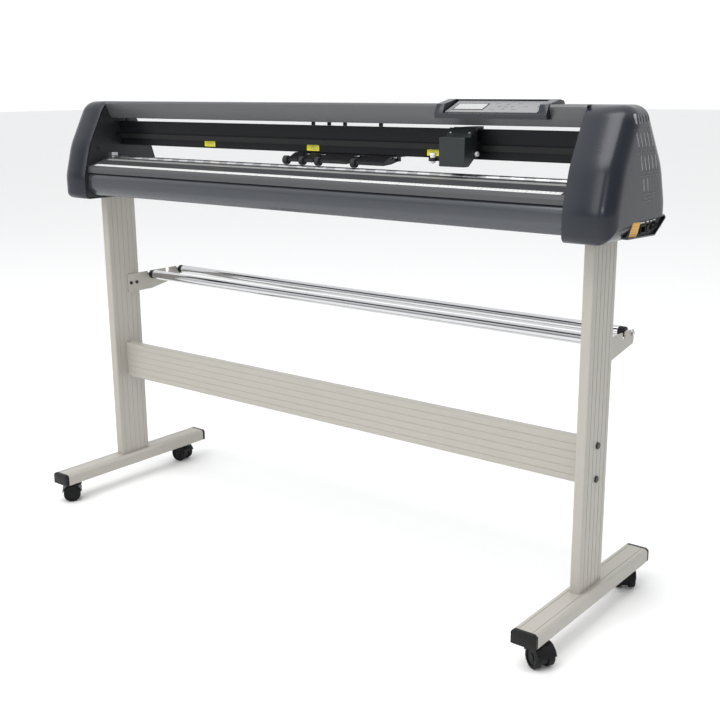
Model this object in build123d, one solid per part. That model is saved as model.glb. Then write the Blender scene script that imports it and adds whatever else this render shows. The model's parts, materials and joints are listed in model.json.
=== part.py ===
"""A floor-standing roll-fed vinyl cutter on a T-leg stand, one STEP file per sub-part, in millimetres.

X runs along the machine, -Y is the operator's side and +Z is up. The origin is on the floor, midway
between the two feet.
"""
import os
from math import cos, hypot, radians, sin

from build123d import *

# ---- driving dimensions: stand -------------------------------------------------------------------
POST_SPACER = 6.6          # between each side plate and its post
PROFILE_THICK = 23.4       # post and crossbar extrusion
PROFILE_DEEP = 97.0
PROFILE_WALL = 2.0
PORT_OFFSET = 35.5         # screw ports either side of the extrusion's middle
PORT_R = 6.5
BOLT_R = 4.0
FOOT_LENGTH = 508.0
FOOT_WIDTH = 55.8
FOOT_HEIGHT = 30.0
FOOT_WALL = 3.0
FOOT_FLOOR = 6.0
CAP_THICK = 9.0
CROSSBAR_MIDDLE = 358.0    # height of the crossbar's centreline
CROSSBAR_Y = 1.0

# ---- driving dimensions: casters -----------------------------------------------------------------
CASTER_HEIGHT = 56.5
CASTER_SPREAD = 400.0      # between the front and rear swivel axes
WHEEL_R = 22.5
WHEEL_WIDTH = 14.0
WHEEL_GAP = 15.0           # between the inner faces of the two wheels
CASTER_TRAIL = 15.0        # swivel axis to wheel axle
AXLE_R = 3.0
STEM_R = 4.0
CASTER_HEADING = {"front_left": -128.0, "front_right": -29.0, "rear_left": -170.0, "rear_right": 124.0}

# ---- driving dimensions: roll bars ---------------------------------------------------------------
BAR_R = 12.0
BAR_WALL = 1.5
BAR_HEIGHT = 587.0
BAR_Y = {"front_roll_bar": 82.0, "rear_roll_bar": 189.0}
SPARE_NOTCH_Y = 150.2
SPARE_NOTCH_WIDTH = 13.5
PLUG_LENGTH = 14.0
JOURNAL_R = 5.0
JOURNAL_CLEAR = 0.3
BRACKET_THICK = 3.0
BRACKET_TOP = 595.0
BRACKET_LOW = 545.0
BRACKET_REAR = 196.0

# ---- driving dimensions: cutting head ------------------------------------------------------------
COVER_GAP = 1380.0         # between the inner faces of the two end covers
COVER_WIDTH = 98.0
COVER_WALL = 3.0
COVER_ROUND = 34.0
SIDE_PLATE_THICK = 4.0
PLATE_FIT = 0.5            # side plate inside the cover's mouth
HEAD_TOP = 1058.0
HEAD_BOTTOM = 811.0
BEAM_LOW = 1016.0
RAIL_LOW = 946.5
RAIL_TOP = 1007.5
RAIL_FRONT = 4.0
RAIL_DEEP = 30.0
GUIDE_HIGH = 12.0
GUIDE_PROUD = 8.0
GUIDE_LOW = 964.0
SHAFT_R = 8.0
SHAFT_Y = -30.0
SHAFT_Z = 912.0
TROUGH_GAP = 2.0
PLATEN_FRONT = -109.0
PLATEN_REAR = 58.0
PLATEN_LOW = 879.0
PLATEN_WALL = 3.0
TOOL_Y = -54.0
STRIP_THICK = 0.8
PANEL_LOW = 822.0
PANEL_WALL = 2.5

# ---- driving dimensions: carriage, pinch rollers, drives -----------------------------------------
CARRIAGE_X = 377.0         # left face of the carriage cover as parked
CARRIAGE_WIDTH = 61.0
COVER_SHEET = 2.0
PINCH_R = 10.0
PINCH_LENGTH = 9.0
PINCH_PRESS_GAP = 0.3      # the sheet that runs between roller and shaft
PINCH_UNITS = {"pinch_1": (-64.5, 38.0), "pinch_2": (-16.0, 36.0), "pinch_3": (31.0, 86.0),
               "pinch_4": (134.0, 86.0)}   # left end and width of each pinch unit
PULLEY_R = 6.4
PULLEY_Y = 46.0
BELT_LOW = 986.0
BELT_WIDTH = 8.0
BELT_THICK = 1.4
FEED_PULLEY_R = 16.0
FEED_DROP = 42.0           # shaft centre to feed motor centre
MOTOR_SIDE = 42.0
MOTOR_LENGTH = 40.0
MOTOR_SHAFT_R = 2.5

# ---- clearances ----------------------------------------------------------------------------------
RUN = 0.05                 # radial, between a shaft and its bore
GAP = 0.3                  # between pieces that move past each other

# ---- worked out from the above -------------------------------------------------------------------
COVER_IN = COVER_GAP / 2
COVER_OUT = COVER_IN + COVER_WIDTH
PLATE_OUT = COVER_IN + SIDE_PLATE_THICK
POST_X = PLATE_OUT + POST_SPACER + PROFILE_THICK / 2
POST_TOP = HEAD_BOTTOM + 37.0
HEAD_BOLT_Z = HEAD_BOTTOM + 20.0
POST_INNER = POST_X - PROFILE_THICK / 2
POST_OUTER = POST_X + PROFILE_THICK / 2
FOOT_TOP = CASTER_HEIGHT + FOOT_HEIGHT
SHAFT_TOP = SHAFT_Z + SHAFT_R
PINCH_Z = SHAFT_TOP + PINCH_PRESS_GAP + PINCH_R
RAIL_BACK = RAIL_FRONT + RAIL_DEEP
SIDES = {"left": -1, "right": 1}
BAR_LENGTH = COVER_GAP - 36.0
RULER_LENGTH = COVER_GAP - 30.0
PULLEY_X = COVER_IN + 28.0

# ---- stand fixings -------------------------------------------------------------------------------
BRACKET_SCREWS_Y = (16.0, 36.0)
BRACKET_SCREW_Z = 570.0
HEAD_BOLTS_Y = (-26.0, 26.0)

# ---- end covers and console, as (y, z) outlines --------------------------------------------------
COVER_SIDE = [(-122, HEAD_BOTTOM), (127, HEAD_BOTTOM), (131, 872), (106, 952), (30, HEAD_TOP), (-42, HEAD_TOP),
              (-100, 950), (-122, 872)]
COVER_RADII = [14, 14, 90, 140, 24, 44, 160, 90]
COVER_BOSSES = [(-10, 976), (-72, 940), (-70, 836), (100, 900), (30, 1010), (96, 824)]
BOSS_R = 5.0
VENT_WIDTH = 6.0
# low, high, first slot's top, lean, pitch and count of each row
VENT_ROWS = [(1024, 1042, -36, 0, 11.8, 5), (982, 1008.5, -37.4, 15, 15, 5), (939, 966.5, -13.8, 10.5, 15.5, 5),
             (900, 924, 3.7, 5, 17, 2)]
CONSOLE_SIDE = [(-54, 817), (72, 812), (121, 842), (113, 849), (-30, 849)]
CONSOLE_LIP = 3.0
CONSOLE_FLOOR = COVER_OUT - 5      # x of the recessed panel's face
PANEL_X = (CONSOLE_FLOOR - 2.0, CONSOLE_FLOOR)
INLET_Y = (12.0, 34.0)
SWITCH_Y = 46.0
SWITCH_HALF = (4.5, 7.0)
PORT_Y = ((58.0, 67.0), (71.0, 81.0))
SOCKET_Z = (821.0, 837.0)
SWITCH_TILT = 7.0          # the rocker's lean either way, in degrees

# ---- drive ends ----------------------------------------------------------------------------------
SHELF_Z = 976.0
MOTOR_BOLT = 15.5
FEED_MOTOR_X = PLATE_OUT + 18
BOARD_X = PLATE_OUT + 8
BOARD_Y = (-62.0, -20.0)
BOARD_Z = (946.0, 1026.0)
BOARD_STANDOFFS = [(BOARD_Y[0] + 5, BOARD_Z[0] + 5), (BOARD_Y[1] - 5, BOARD_Z[0] + 5),
                   (BOARD_Y[1] - 5, BOARD_Z[1] - 5), (BOARD_Y[0] + 20, BOARD_Z[1] - 24)]
FEED_X = (PLATE_OUT + 3.0, PLATE_OUT + 15.0)
BEARING_X = (-COVER_IN + 7.0, -338.0, 0.0, 338.0, COVER_IN - 7.0)
END_BEARING = 14.0

# ---- beams, keypad and bed -----------------------------------------------------------------------
BEAM_SIDE = [(-23, BEAM_LOW), (45, BEAM_LOW + 2), (24, HEAD_TOP), (-38, HEAD_TOP), (-41, 1053)]
KEYPAD_X = (357.0, 612.0)
KEYPAD_SIDE = [(-49, 1030), (-20, 1030), (22, 1044), (22, HEAD_TOP), (18, 1064), (2, 1067), (-42, 1058),
               (-51, 1038)]
CHEEK = 19.0
PLATE_LINE = [(-47.5, 1041), (6, 1062)]     # the sloping keypad, front to back
TROUGH = SHAFT_R + TROUGH_GAP
PLATEN_SLOPE = [(SHAFT_Y - TROUGH, 914.5), (-103.0, 897.2)]
CUT_STRIP_Y = (TOOL_Y + 5, TOOL_Y - 5)
RULER_Y = (-89.0, -101.5)

# ---- carriage and tool ---------------------------------------------------------------------------
TOOL_X = CARRIAGE_X - 20.0
HOLDER_R = 5.5
HOLDER_COLLAR = 1.4
RING_R = HOLDER_R + 3.5
ARM_REACH = 26.0           # how far the arm runs inside the cover
ARM_TOP = 986.0
PLATE_FRONT = -14.0
HOLDER_Z = (942.5, 957.5)
HOLDER_TIP = 938.5
CARRIAGE_SIDE = [(-62, 935), (-45, 935), (-20, 953), (-14, 953), (-14, 1010), (-24, 1011), (-40, 993), (-62, 993)]
BLOCK_X = (CARRIAGE_X + 4, CARRIAGE_X + CARRIAGE_WIDTH - 4)
ARM_Z = (RAIL_TOP + 1.2, RAIL_TOP + 4.2)
CARRIAGE_INSIDE = [(-60, 937), (-45.6, 937), (-20.6, 955), (-10, 955), (-10, 1008), (-23, 1009), (-39, 991),
                   (-60, 991)]
ARM_BODY_Y = (TOOL_Y - 7.0, TOOL_Y + 11.0)
ARM_BODY_Z = (944.5, 951.5)
STRAP_BACK = PULLEY_Y - 1.0

# ---- pinch units ---------------------------------------------------------------------------------
PIVOT_Y = 18.0
PIVOT_Z = 939.0
PIVOT_R = 2.0
PINCH_PLATE = (RAIL_LOW - GAP - 3, RAIL_LOW - GAP)
MOUNT_TOP = 972.0
LEVER_Y = (PULLEY_Y + PULLEY_R + GAP + BELT_THICK + 2, PULLEY_Y + PULLEY_R + GAP + BELT_THICK + 6)


# ---- helpers -------------------------------------------------------------------------------------
def block(x, y, z):
    """A box from three (low, high) pairs."""
    (x0, x1), (y0, y1), (z0, z1) = sorted(x), sorted(y), sorted(z)
    return Pos((x0 + x1) / 2, (y0 + y1) / 2, (z0 + z1) / 2) * Box(x1 - x0, y1 - y0, z1 - z0)


def outline(points, radii=None):
    """A closed outline with straight sides and rounded corners."""
    if radii is None:
        return make_face(Polyline(*points, close=True))
    return make_face(FilletPolyline(*points, radius=radii, close=True))


def prism_x(points, x0, x1, radii=None):
    """A (y, z) outline run along X."""
    low, high = sorted((x0, x1))
    return extrude(Plane.YZ.offset(low) * outline(points, radii), high - low)


def prism_y(points, y0, y1, radii=None):
    """An (x, z) outline run along Y."""
    flat = Plane((0, y0, 0), x_dir=(1, 0, 0), z_dir=(0, -1, 0)) * outline(points, radii)
    return extrude(flat, -(y1 - y0))


def rod(r, start, end):
    """A cylinder between two points."""
    a, b = Vector(*start), Vector(*end)
    return Plane(origin=a, z_dir=b - a) * Cylinder(r, (b - a).length, align=(Align.CENTER, Align.CENTER, Align.MIN))


def tube(outer, inner, start, end):
    """A pipe between two points, open at both ends."""
    return rod(outer, start, end) - rod(inner, start, end)


def inset(points, d):
    """A convex anticlockwise polygon moved in by d on every side."""
    sides = []
    for (ax, ay), (bx, by) in zip(points, points[1:] + points[:1]):
        length = hypot(bx - ax, by - ay)
        nx, ny = -(by - ay) / length, (bx - ax) / length
        sides.append((nx, ny, nx * ax + ny * ay + d))
    moved = []
    for (a1, b1, c1), (a2, b2, c2) in zip(sides[-1:] + sides[:-1], sides):
        det = a1 * b2 - a2 * b1
        moved.append(((c1 * b2 - c2 * b1) / det, (a1 * c2 - a2 * c1) / det))
    return moved


def both_sides(shape):
    """A shape and its mirror image across the machine's middle, as one group."""
    return Compound(shape.solids() + mirror(shape, Plane.YZ).solids())


def group(*shapes):
    """Separate solids kept in one node."""
    return Compound([solid for shape in shapes for solid in shape.solids()])


# ---- stand ---------------------------------------------------------------------------------------
def profile_section():
    """The post and crossbar extrusion: hollow, with two screw ports and fine grooves on both wide sides."""
    section = RectangleRounded(PROFILE_THICK, PROFILE_DEEP, 4)
    section -= RectangleRounded(PROFILE_THICK - 2 * PROFILE_WALL, PROFILE_DEEP - 2 * PROFILE_WALL, 2)
    rib = Rectangle(PROFILE_THICK - PROFILE_WALL, PROFILE_WALL)
    for side in (-1, 1):
        port = Pos(0, side * PORT_OFFSET)
        section += port * (Circle(PORT_R) + rib)
        section -= port * Circle(BOLT_R)
    for across in (-1, 1):
        for along in (-0.34, -0.17, 0.0, 0.17, 0.34):
            section -= Pos(across * PROFILE_THICK / 2, along * PROFILE_DEEP) * Rectangle(1.2, 1.6)
    return section


def posts():
    section = Pos(POST_X, 0, FOOT_TOP) * profile_section()
    post = extrude(section, POST_TOP - FOOT_TOP)
    for height in (-PORT_OFFSET, PORT_OFFSET):
        post -= crossbar_bolt_line(height, BOLT_R + RUN)
    for y in BRACKET_SCREWS_Y:
        post -= rod(2.5, (POST_INNER - 1, y, BRACKET_SCREW_Z), (POST_INNER + 8, y, BRACKET_SCREW_Z))
    for y in HEAD_BOLTS_Y:
        post -= rod(BOLT_R + RUN, (POST_INNER - 1, y, HEAD_BOLT_Z), (POST_OUTER + 1, y, HEAD_BOLT_Z))
    return both_sides(post)


def crossbar_bolt_line(height, r):
    """A cylinder along a bolt that runs through the right post into the crossbar."""
    z = CROSSBAR_MIDDLE + height
    return rod(r, (POST_INNER - 26, CROSSBAR_Y, z), (POST_OUTER + 1, CROSSBAR_Y, z))


def crossbar():
    section = Plane.YZ.offset(-POST_INNER) * (Pos(CROSSBAR_Y, CROSSBAR_MIDDLE) * profile_section())
    return extrude(section, 2 * POST_INNER)


def foot_section():
    """The foot extrusion: a thick floor, a hollow middle and a shouldered, grooved top."""
    half = FOOT_WIDTH / 2
    shoulder = 6.0
    outer = outline([(-half, 0), (half, 0), (half, FOOT_HEIGHT - 5), (half - shoulder, FOOT_HEIGHT),
                     (shoulder - half, FOOT_HEIGHT), (-half, FOOT_HEIGHT - 5)], [2, 2, 3, 2, 2, 3])
    section = outer - Pos(0, (FOOT_FLOOR + FOOT_HEIGHT - FOOT_WALL) / 2) * RectangleRounded(
        FOOT_WIDTH - 2 * FOOT_WALL - 4, FOOT_HEIGHT - FOOT_FLOOR - FOOT_WALL, 2)
    for x in (-0.27, 0.27):
        section -= Pos(x * FOOT_WIDTH, FOOT_HEIGHT) * Rectangle(1.6, 1.6)
    return section


def feet():
    length = FOOT_LENGTH - 2 * CAP_THICK
    face = Plane((POST_X, length / 2, CASTER_HEIGHT), x_dir=(1, 0, 0), z_dir=(0, -1, 0)) * foot_section()
    foot = extrude(face, length)
    for end in (-1, 1):
        y = end * CASTER_SPREAD / 2
        foot -= rod(STEM_R + RUN, (POST_X, y, CASTER_HEIGHT - 1), (POST_X, y, CASTER_HEIGHT + FOOT_FLOOR + 1))
        y = end * PORT_OFFSET
        foot -= rod(BOLT_R + RUN, (POST_X, y, FOOT_TOP - FOOT_WALL - 1), (POST_X, y, FOOT_TOP + 1))
    return both_sides(foot)


def foot_end_caps():
    """Moulded caps that close the four ends of the feet."""
    half = FOOT_WIDTH / 2
    low, high = CASTER_HEIGHT, FOOT_TOP
    end = FOOT_LENGTH / 2
    side = [(half, low), (half, high - 5), (half - 6, high),
            (6 - half, high), (-half, high - 5), (-half, low)]
    cap = prism_y([(POST_X + x, z) for x, z in side], end - CAP_THICK, end)
    slope = [(end - 6, high + 1), (end + 1, high + 1), (end + 1, high - 6)]
    cap -= prism_x(slope, POST_X - half - 1, POST_X + half + 1)
    caps = group(cap, mirror(cap, Plane.XZ))
    return both_sides(caps)


def button_head(r, height, at, direction):
    """A low round bolt head standing on a face."""
    a = Vector(*at)
    return rod(r, at, tuple(a + Vector(*direction) * height))


def stand_bolts():
    """The bolts that join crossbar, posts, feet, roll brackets and head."""
    bolts = []
    for height in (-PORT_OFFSET, PORT_OFFSET):
        z = CROSSBAR_MIDDLE + height
        bolt = rod(BOLT_R, (POST_INNER - 24, CROSSBAR_Y, z), (POST_OUTER, CROSSBAR_Y, z))
        bolts.append(bolt + button_head(7, 3, (POST_OUTER, CROSSBAR_Y, z), (1, 0, 0)))
    for side in (-1, 1):
        y, under = side * PORT_OFFSET, FOOT_TOP - FOOT_WALL
        bolt = rod(BOLT_R, (POST_X, y, under), (POST_X, y, FOOT_TOP + 25))
        bolts.append(bolt + button_head(7, 5, (POST_X, y, under), (0, 0, -1)))
    for y in HEAD_BOLTS_Y:
        bolt = rod(BOLT_R, (PLATE_OUT - 1, y, HEAD_BOLT_Z), (POST_OUTER, y, HEAD_BOLT_Z))
        bolts.append(bolt + button_head(7, 3, (POST_OUTER, y, HEAD_BOLT_Z), (1, 0, 0)))
    for y in BRACKET_SCREWS_Y:
        face = POST_INNER - BRACKET_THICK
        bolt = rod(2.4, (face, y, BRACKET_SCREW_Z), (POST_INNER + 6, y, BRACKET_SCREW_Z))
        bolts.append(bolt + button_head(4.5, 2.2, (face, y, BRACKET_SCREW_Z), (-1, 0, 0)))
    return both_sides(group(*bolts))


def notch(y, width, x0, x1, centre=BAR_HEIGHT):
    """A round-bottomed slot, open at the top, that a roll bar's journal drops into."""
    r = width / 2
    slot = block((x0, x1), (y - r, y + r), (centre, BRACKET_TOP + 1))
    return slot + rod(r, (x0, y, centre), (x1, y, centre))


def roll_brackets():
    inner, outer = POST_INNER - BRACKET_THICK, POST_INNER
    side = [(6, BRACKET_LOW), (88, BRACKET_LOW), (BRACKET_REAR, 564), (BRACKET_REAR + 2, BRACKET_TOP - 5),
            (BRACKET_REAR - 3, BRACKET_TOP), (6, BRACKET_TOP)]
    plate = prism_x(side, inner, outer, [3, 20, 6, 2, 2, 3])
    for y in BAR_Y.values():
        plate -= notch(y, 2 * (JOURNAL_R + JOURNAL_CLEAR), inner - 1, outer + 1)
    plate -= notch(SPARE_NOTCH_Y, SPARE_NOTCH_WIDTH, inner - 1, outer + 1)
    for y in BRACKET_SCREWS_Y:
        plate -= rod(2.5, (inner - 1, y, BRACKET_SCREW_Z), (outer + 1, y, BRACKET_SCREW_Z))
    return both_sides(plate)


def roll_bar(y):
    """A chromed tube with a plug in each end whose journals lie in the bracket notches."""
    half = BAR_LENGTH / 2
    bore = BAR_R - BAR_WALL
    bar = tube(BAR_R, bore, (-half, y, BAR_HEIGHT), (half, y, BAR_HEIGHT))
    plug = rod(bore, (half - 20, y, BAR_HEIGHT), (half, y, BAR_HEIGHT))
    plug += rod(BAR_R - 0.5, (half, y, BAR_HEIGHT), (half + PLUG_LENGTH, y, BAR_HEIGHT))
    plug += rod(JOURNAL_R, (half + PLUG_LENGTH, y, BAR_HEIGHT), (POST_INNER + 4, y, BAR_HEIGHT))
    return group(bar, both_sides(plug))


# ---- casters -------------------------------------------------------------------------------------
def caster_place(corner):
    """Where a caster's swivel axis meets the floor, turned to its heading."""
    front = -1 if corner.startswith("front") else 1
    side = -1 if corner.endswith("left") else 1
    return Pos(side * POST_X, front * CASTER_SPREAD / 2, 0) * Rot(0, 0, CASTER_HEADING[corner])


def caster_hood(corner):
    """The forked housing between and over the twin wheels, with its steel stem. The axle runs along Y."""
    half = WHEEL_GAP / 2 + WHEEL_WIDTH
    x, z = CASTER_TRAIL, WHEEL_R
    inner, outer = WHEEL_R + 1.5, WHEEL_R + 4.0
    web = WHEEL_GAP / 2 - 0.6
    hood = tube(outer, inner, (x, -half, z), (x, half, z))
    hood -= block((x - 60, x + 60), (-half - 1, half + 1), (-10, z + 6))
    hood += rod(WHEEL_R - 4, (x, -web, z), (x, web, z))
    hood += block((x - 15, x + 15), (-web, web), (z, z + inner + 1))
    top = CASTER_HEIGHT - GAP
    hood += rod(12, (0, 0, z + inner - 3), (0, 0, top)) & block((-20, 20), (-20, 20), (40, top))
    hood -= tube(inner, WHEEL_R - 4, (x, web, z), (x, half + 1, z))
    hood -= tube(inner, WHEEL_R - 4, (x, -half - 1, z), (x, -web, z))
    hood -= rod(AXLE_R + RUN, (x, -half, z), (x, half, z))
    hood -= rod(STEM_R, (0, 0, 42), (0, 0, top + 1))
    hold = CASTER_HEIGHT + FOOT_FLOOR + GAP
    stem = rod(STEM_R, (0, 0, 42), (0, 0, hold + 6)) + rod(STEM_R + 2.5, (0, 0, hold), (0, 0, hold + 2))
    return caster_place(corner) * group(hood, stem)


def caster_wheels(corner):
    """Two wheels on one axle."""
    x, z = CASTER_TRAIL, WHEEL_R
    near, far = WHEEL_GAP / 2, WHEEL_GAP / 2 + WHEEL_WIDTH
    axle = rod(AXLE_R, (x, -near - 4, z), (x, near + 4, z))
    wheels = []
    for side in (-1, 1):
        wheel = rod(WHEEL_R, (x, side * near, z), (x, side * far, z))
        wheel = fillet(wheel.edges().filter_by(GeomType.CIRCLE), 2.5)
        wheel -= rod(WHEEL_R - 6, (x, side * (far - 2), z), (x, side * (far + 1), z))
        wheel += rod(8, (x, side * (far - 3), z), (x, side * (far - 0.5), z))
        wheel -= rod(AXLE_R, (x, 0, z), (x, side * (near + 4), z))
        wheels.append(wheel)
    return caster_place(corner) * group(axle, *wheels)


# ---- head: covers and side plates ----------------------------------------------------------------


def cover_face(d, x):
    """The cover's side outline, moved in by d, standing at x."""
    radii = [max(r - d, 2) for r in COVER_RADII]
    return Plane.YZ.offset(x) * outline(inset(COVER_SIDE, d), radii)


def cover_form(wall, open_at):
    """The soft-cornered block of an end cover, less a wall on its outside. Right-hand side."""
    steps = [radians(a) for a in (0, 22, 45, 68, 90)]
    corner = COVER_ROUND - wall
    middle = COVER_OUT - COVER_ROUND
    form = extrude(cover_face(wall, open_at), middle - open_at)
    faces = [cover_face(wall + corner * (1 - cos(a)), middle + corner * sin(a)) for a in steps]
    return form + loft(faces, ruled=True)


def vent_slots():
    """Four rows of slanted slots through the outer wall."""
    slots = []
    for z0, z1, y0, lean, pitch, columns in VENT_ROWS:
        for column in range(columns):
            y = y0 + column * pitch
            foot = y + lean
            slots.append(prism_x([(foot, z0), (foot + VENT_WIDTH, z0), (y + VENT_WIDTH, z1), (y, z1)],
                                 COVER_OUT - COVER_ROUND, COVER_OUT + 1))
    return slots


def end_cover(side):
    """A hollow moulded end cover with bosses for the screws that come through the side plate."""
    cover = cover_form(0, COVER_IN) - cover_form(COVER_WALL, COVER_IN - 1)
    inside = cover_form(COVER_WALL - 0.5, COVER_IN)
    for y, z in COVER_BOSSES:
        boss = rod(BOSS_R, (PLATE_OUT, y, z), (COVER_OUT, y, z)) & inside
        cover += boss
        cover -= rod(1.8, (PLATE_OUT - 1, y, z), (PLATE_OUT + 12, y, z))
    half = PROFILE_DEEP / 2 + 1
    floor = (HEAD_BOTTOM - 1, HEAD_BOTTOM + COVER_WALL + 1)
    cover -= block((POST_INNER - 1, POST_OUTER + 1), (-half, half), floor)
    for slot in vent_slots():
        cover -= slot
    if side == "right":
        cover += console_form() - inside
        cover -= prism_x(inset(CONSOLE_SIDE, CONSOLE_LIP), COVER_OUT - COVER_ROUND - 10, COVER_OUT + 1)
    return cover if side == "right" else mirror(cover, Plane.YZ)


def console_form():
    """The ledge around the connector panel, low on the outer face of the right cover."""
    return prism_x(CONSOLE_SIDE, COVER_OUT - COVER_ROUND, COVER_OUT)


def side_plate(side):
    """The steel plate in the mouth of a cover: it carries the beams, the shaft and one end's drive parts."""
    d = COVER_WALL + PLATE_FIT
    radii = [max(r - d, 2) for r in COVER_RADII]
    plate = prism_x(inset(COVER_SIDE, d), COVER_IN, PLATE_OUT, radii)
    belt_slot = (BELT_LOW - 6, BELT_LOW + 14)
    plate -= block((COVER_IN - 1, PLATE_OUT + 1), (PULLEY_Y - 11, PULLEY_Y + 11), belt_slot)
    plate -= rod(SHAFT_R + 1, (COVER_IN - 1, SHAFT_Y, SHAFT_Z), (PLATE_OUT + 1, SHAFT_Y, SHAFT_Z))
    for y, z in COVER_BOSSES:
        plate -= rod(2.0, (COVER_IN - 1, y, z), (PLATE_OUT + 1, y, z))
    for y in HEAD_BOLTS_Y:
        plate -= rod(BOLT_R, (COVER_IN - 1, y, HEAD_BOLT_Z), (PLATE_OUT + 1, y, HEAD_BOLT_Z))
    shelf = block((PLATE_OUT - 0.5, PULLEY_X + 22), (PULLEY_Y - 22, PULLEY_Y + 22), (SHELF_Z, SHELF_Z + 3))
    if side == "right":
        shelf -= rod(11.5, (PULLEY_X, PULLEY_Y, SHELF_Z - 1), (PULLEY_X, PULLEY_Y, SHELF_Z + 4))
        for y in (-1, 1):
            for z in (-1, 1):
                at = (SHAFT_Y + y * MOTOR_BOLT, SHAFT_Z - FEED_DROP + z * MOTOR_BOLT)
                plate += rod(2.5, (PLATE_OUT - 0.5, *at), (FEED_MOTOR_X, *at))
        for y, z in BOARD_STANDOFFS:
            plate += rod(2.5, (PLATE_OUT - 0.5, y, z), (BOARD_X, y, z))
    else:
        shaft_top = (PULLEY_X, PULLEY_Y, BELT_LOW + BELT_WIDTH + 4)
        shelf += rod(MOTOR_SHAFT_R, (PULLEY_X, PULLEY_Y, SHELF_Z), shaft_top)
    plate += shelf
    return plate if side == "right" else mirror(plate, Plane.YZ)


def post_mount_blocks():
    """Spacers that fill the space between each side plate and the top of its post."""
    mount = block((PLATE_OUT, POST_INNER), (-40, 40), (POST_TOP - 30, POST_TOP - 4))
    for y in HEAD_BOLTS_Y:
        mount -= rod(BOLT_R + RUN, (PLATE_OUT - 1, y, HEAD_BOLT_Z), (POST_INNER + 1, y, HEAD_BOLT_Z))
    return both_sides(mount)


def cover_screws():
    """The screws that hold the covers, their heads on the inner faces of the side plates."""
    screws = []
    for y, z in COVER_BOSSES:
        screw = rod(1.75, (COVER_IN, y, z), (PLATE_OUT + 11, y, z))
        screws.append(screw + button_head(3.5, 1.8, (COVER_IN, y, z), (-1, 0, 0)))
    return both_sides(group(*screws))


# ---- head: beams, platen, panel ------------------------------------------------------------------


def top_beam():
    """The hollow beam across the top, notched for the keypad housing."""
    beam = prism_x(BEAM_SIDE, -COVER_IN, COVER_IN, [2, 2, 6, 2, 2])
    beam -= prism_x(inset(BEAM_SIDE, 2.5), -COVER_IN - 1, COVER_IN + 1)
    return beam - keypad_form()


def keypad_form():
    return prism_x(KEYPAD_SIDE, *KEYPAD_X)


def sloped(x, above, thick, start=0.0, end=1.0):
    """A slab lying on the keypad's slope, some way above it."""
    (y0, z0), (y1, z1) = PLATE_LINE
    length = hypot(y1 - y0, z1 - z0)
    u, n = ((y1 - y0) / length, (z1 - z0) / length), (-(z1 - z0) / length, (y1 - y0) / length)
    corners = []
    for t, h in ((start, above), (end, above), (end, above + thick), (start, above + thick)):
        corners.append((y0 + u[0] * t * length + n[0] * h, z0 + u[1] * t * length + n[1] * h))
    return prism_x(corners, *x)


def keypad_bezel():
    """The moulded housing of the keypad: two raised cheeks either side of a sloping tray."""
    tray = (KEYPAD_X[0] + CHEEK, KEYPAD_X[1] - CHEEK)
    housing = keypad_form() - sloped(tray, 0, 40, -0.4, 1.0)
    (_, _), (y1, z1) = PLATE_LINE
    housing -= block(tray, (y1 - 1, y1 + 2), (z1, z1 + 20))
    pocket = prism_x(inset(KEYPAD_SIDE, 3), KEYPAD_X[0] + 3, KEYPAD_X[1] - 3)
    under = sloped((KEYPAD_X[0] + 3, KEYPAD_X[1] - 3), -40, 37, -0.3, 1.3)
    return housing - (pocket & under & block(tray, (-60, 60), (1000, 1100)))


def keypad_plate():
    """The flat membrane keypad in the tray."""
    return sloped((KEYPAD_X[0] + CHEEK + 4, KEYPAD_X[1] - CHEEK - 4), 0, 1.5, 0.03, 0.98)


def display_window():
    x = KEYPAD_X[0] + CHEEK + 16
    return sloped((x, x + 68), 1.5, 0.5, 0.25, 0.72)


def y_rail():
    """The main rail, hollow, with a lower step along its back edge."""
    side = [(RAIL_FRONT, RAIL_LOW), (RAIL_BACK, RAIL_LOW), (RAIL_BACK, RAIL_TOP - 5), (RAIL_FRONT + 13, RAIL_TOP - 5),
            (RAIL_FRONT + 13, RAIL_TOP), (RAIL_FRONT, RAIL_TOP)]
    rail = prism_x(side, -COVER_IN, COVER_IN, [1.5, 1.5, 1.5, 1, 1, 1.5])
    hollow = (RAIL_FRONT + 3, RAIL_BACK - 3)
    rail -= block((-COVER_IN - 1, COVER_IN + 1), hollow, (RAIL_LOW + 3, 972))
    return rail - block((-COVER_IN - 1, COVER_IN + 1), hollow, (975, RAIL_TOP - 8))


def guide_rail():
    """The steel guide along the rail's front that carries the carriage."""
    back, front = RAIL_FRONT, RAIL_FRONT - GUIDE_PROUD
    low, high = GUIDE_LOW, GUIDE_LOW + GUIDE_HIGH
    waist = 1.6
    side = [(back, low + waist), (back - 3, low + waist), (back - 4.5, low), (front, low), (front, high),
            (back - 4.5, high), (back - 3, high - waist), (back, high - waist)]
    return prism_x(side, -COVER_IN + 6, COVER_IN - 6)


def platen_height(y):
    """The height of the platen's front slope."""
    (y0, z0), (y1, z1) = PLATEN_SLOPE
    return z0 + (z1 - z0) * (y - y0) / (y1 - y0)


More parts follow.
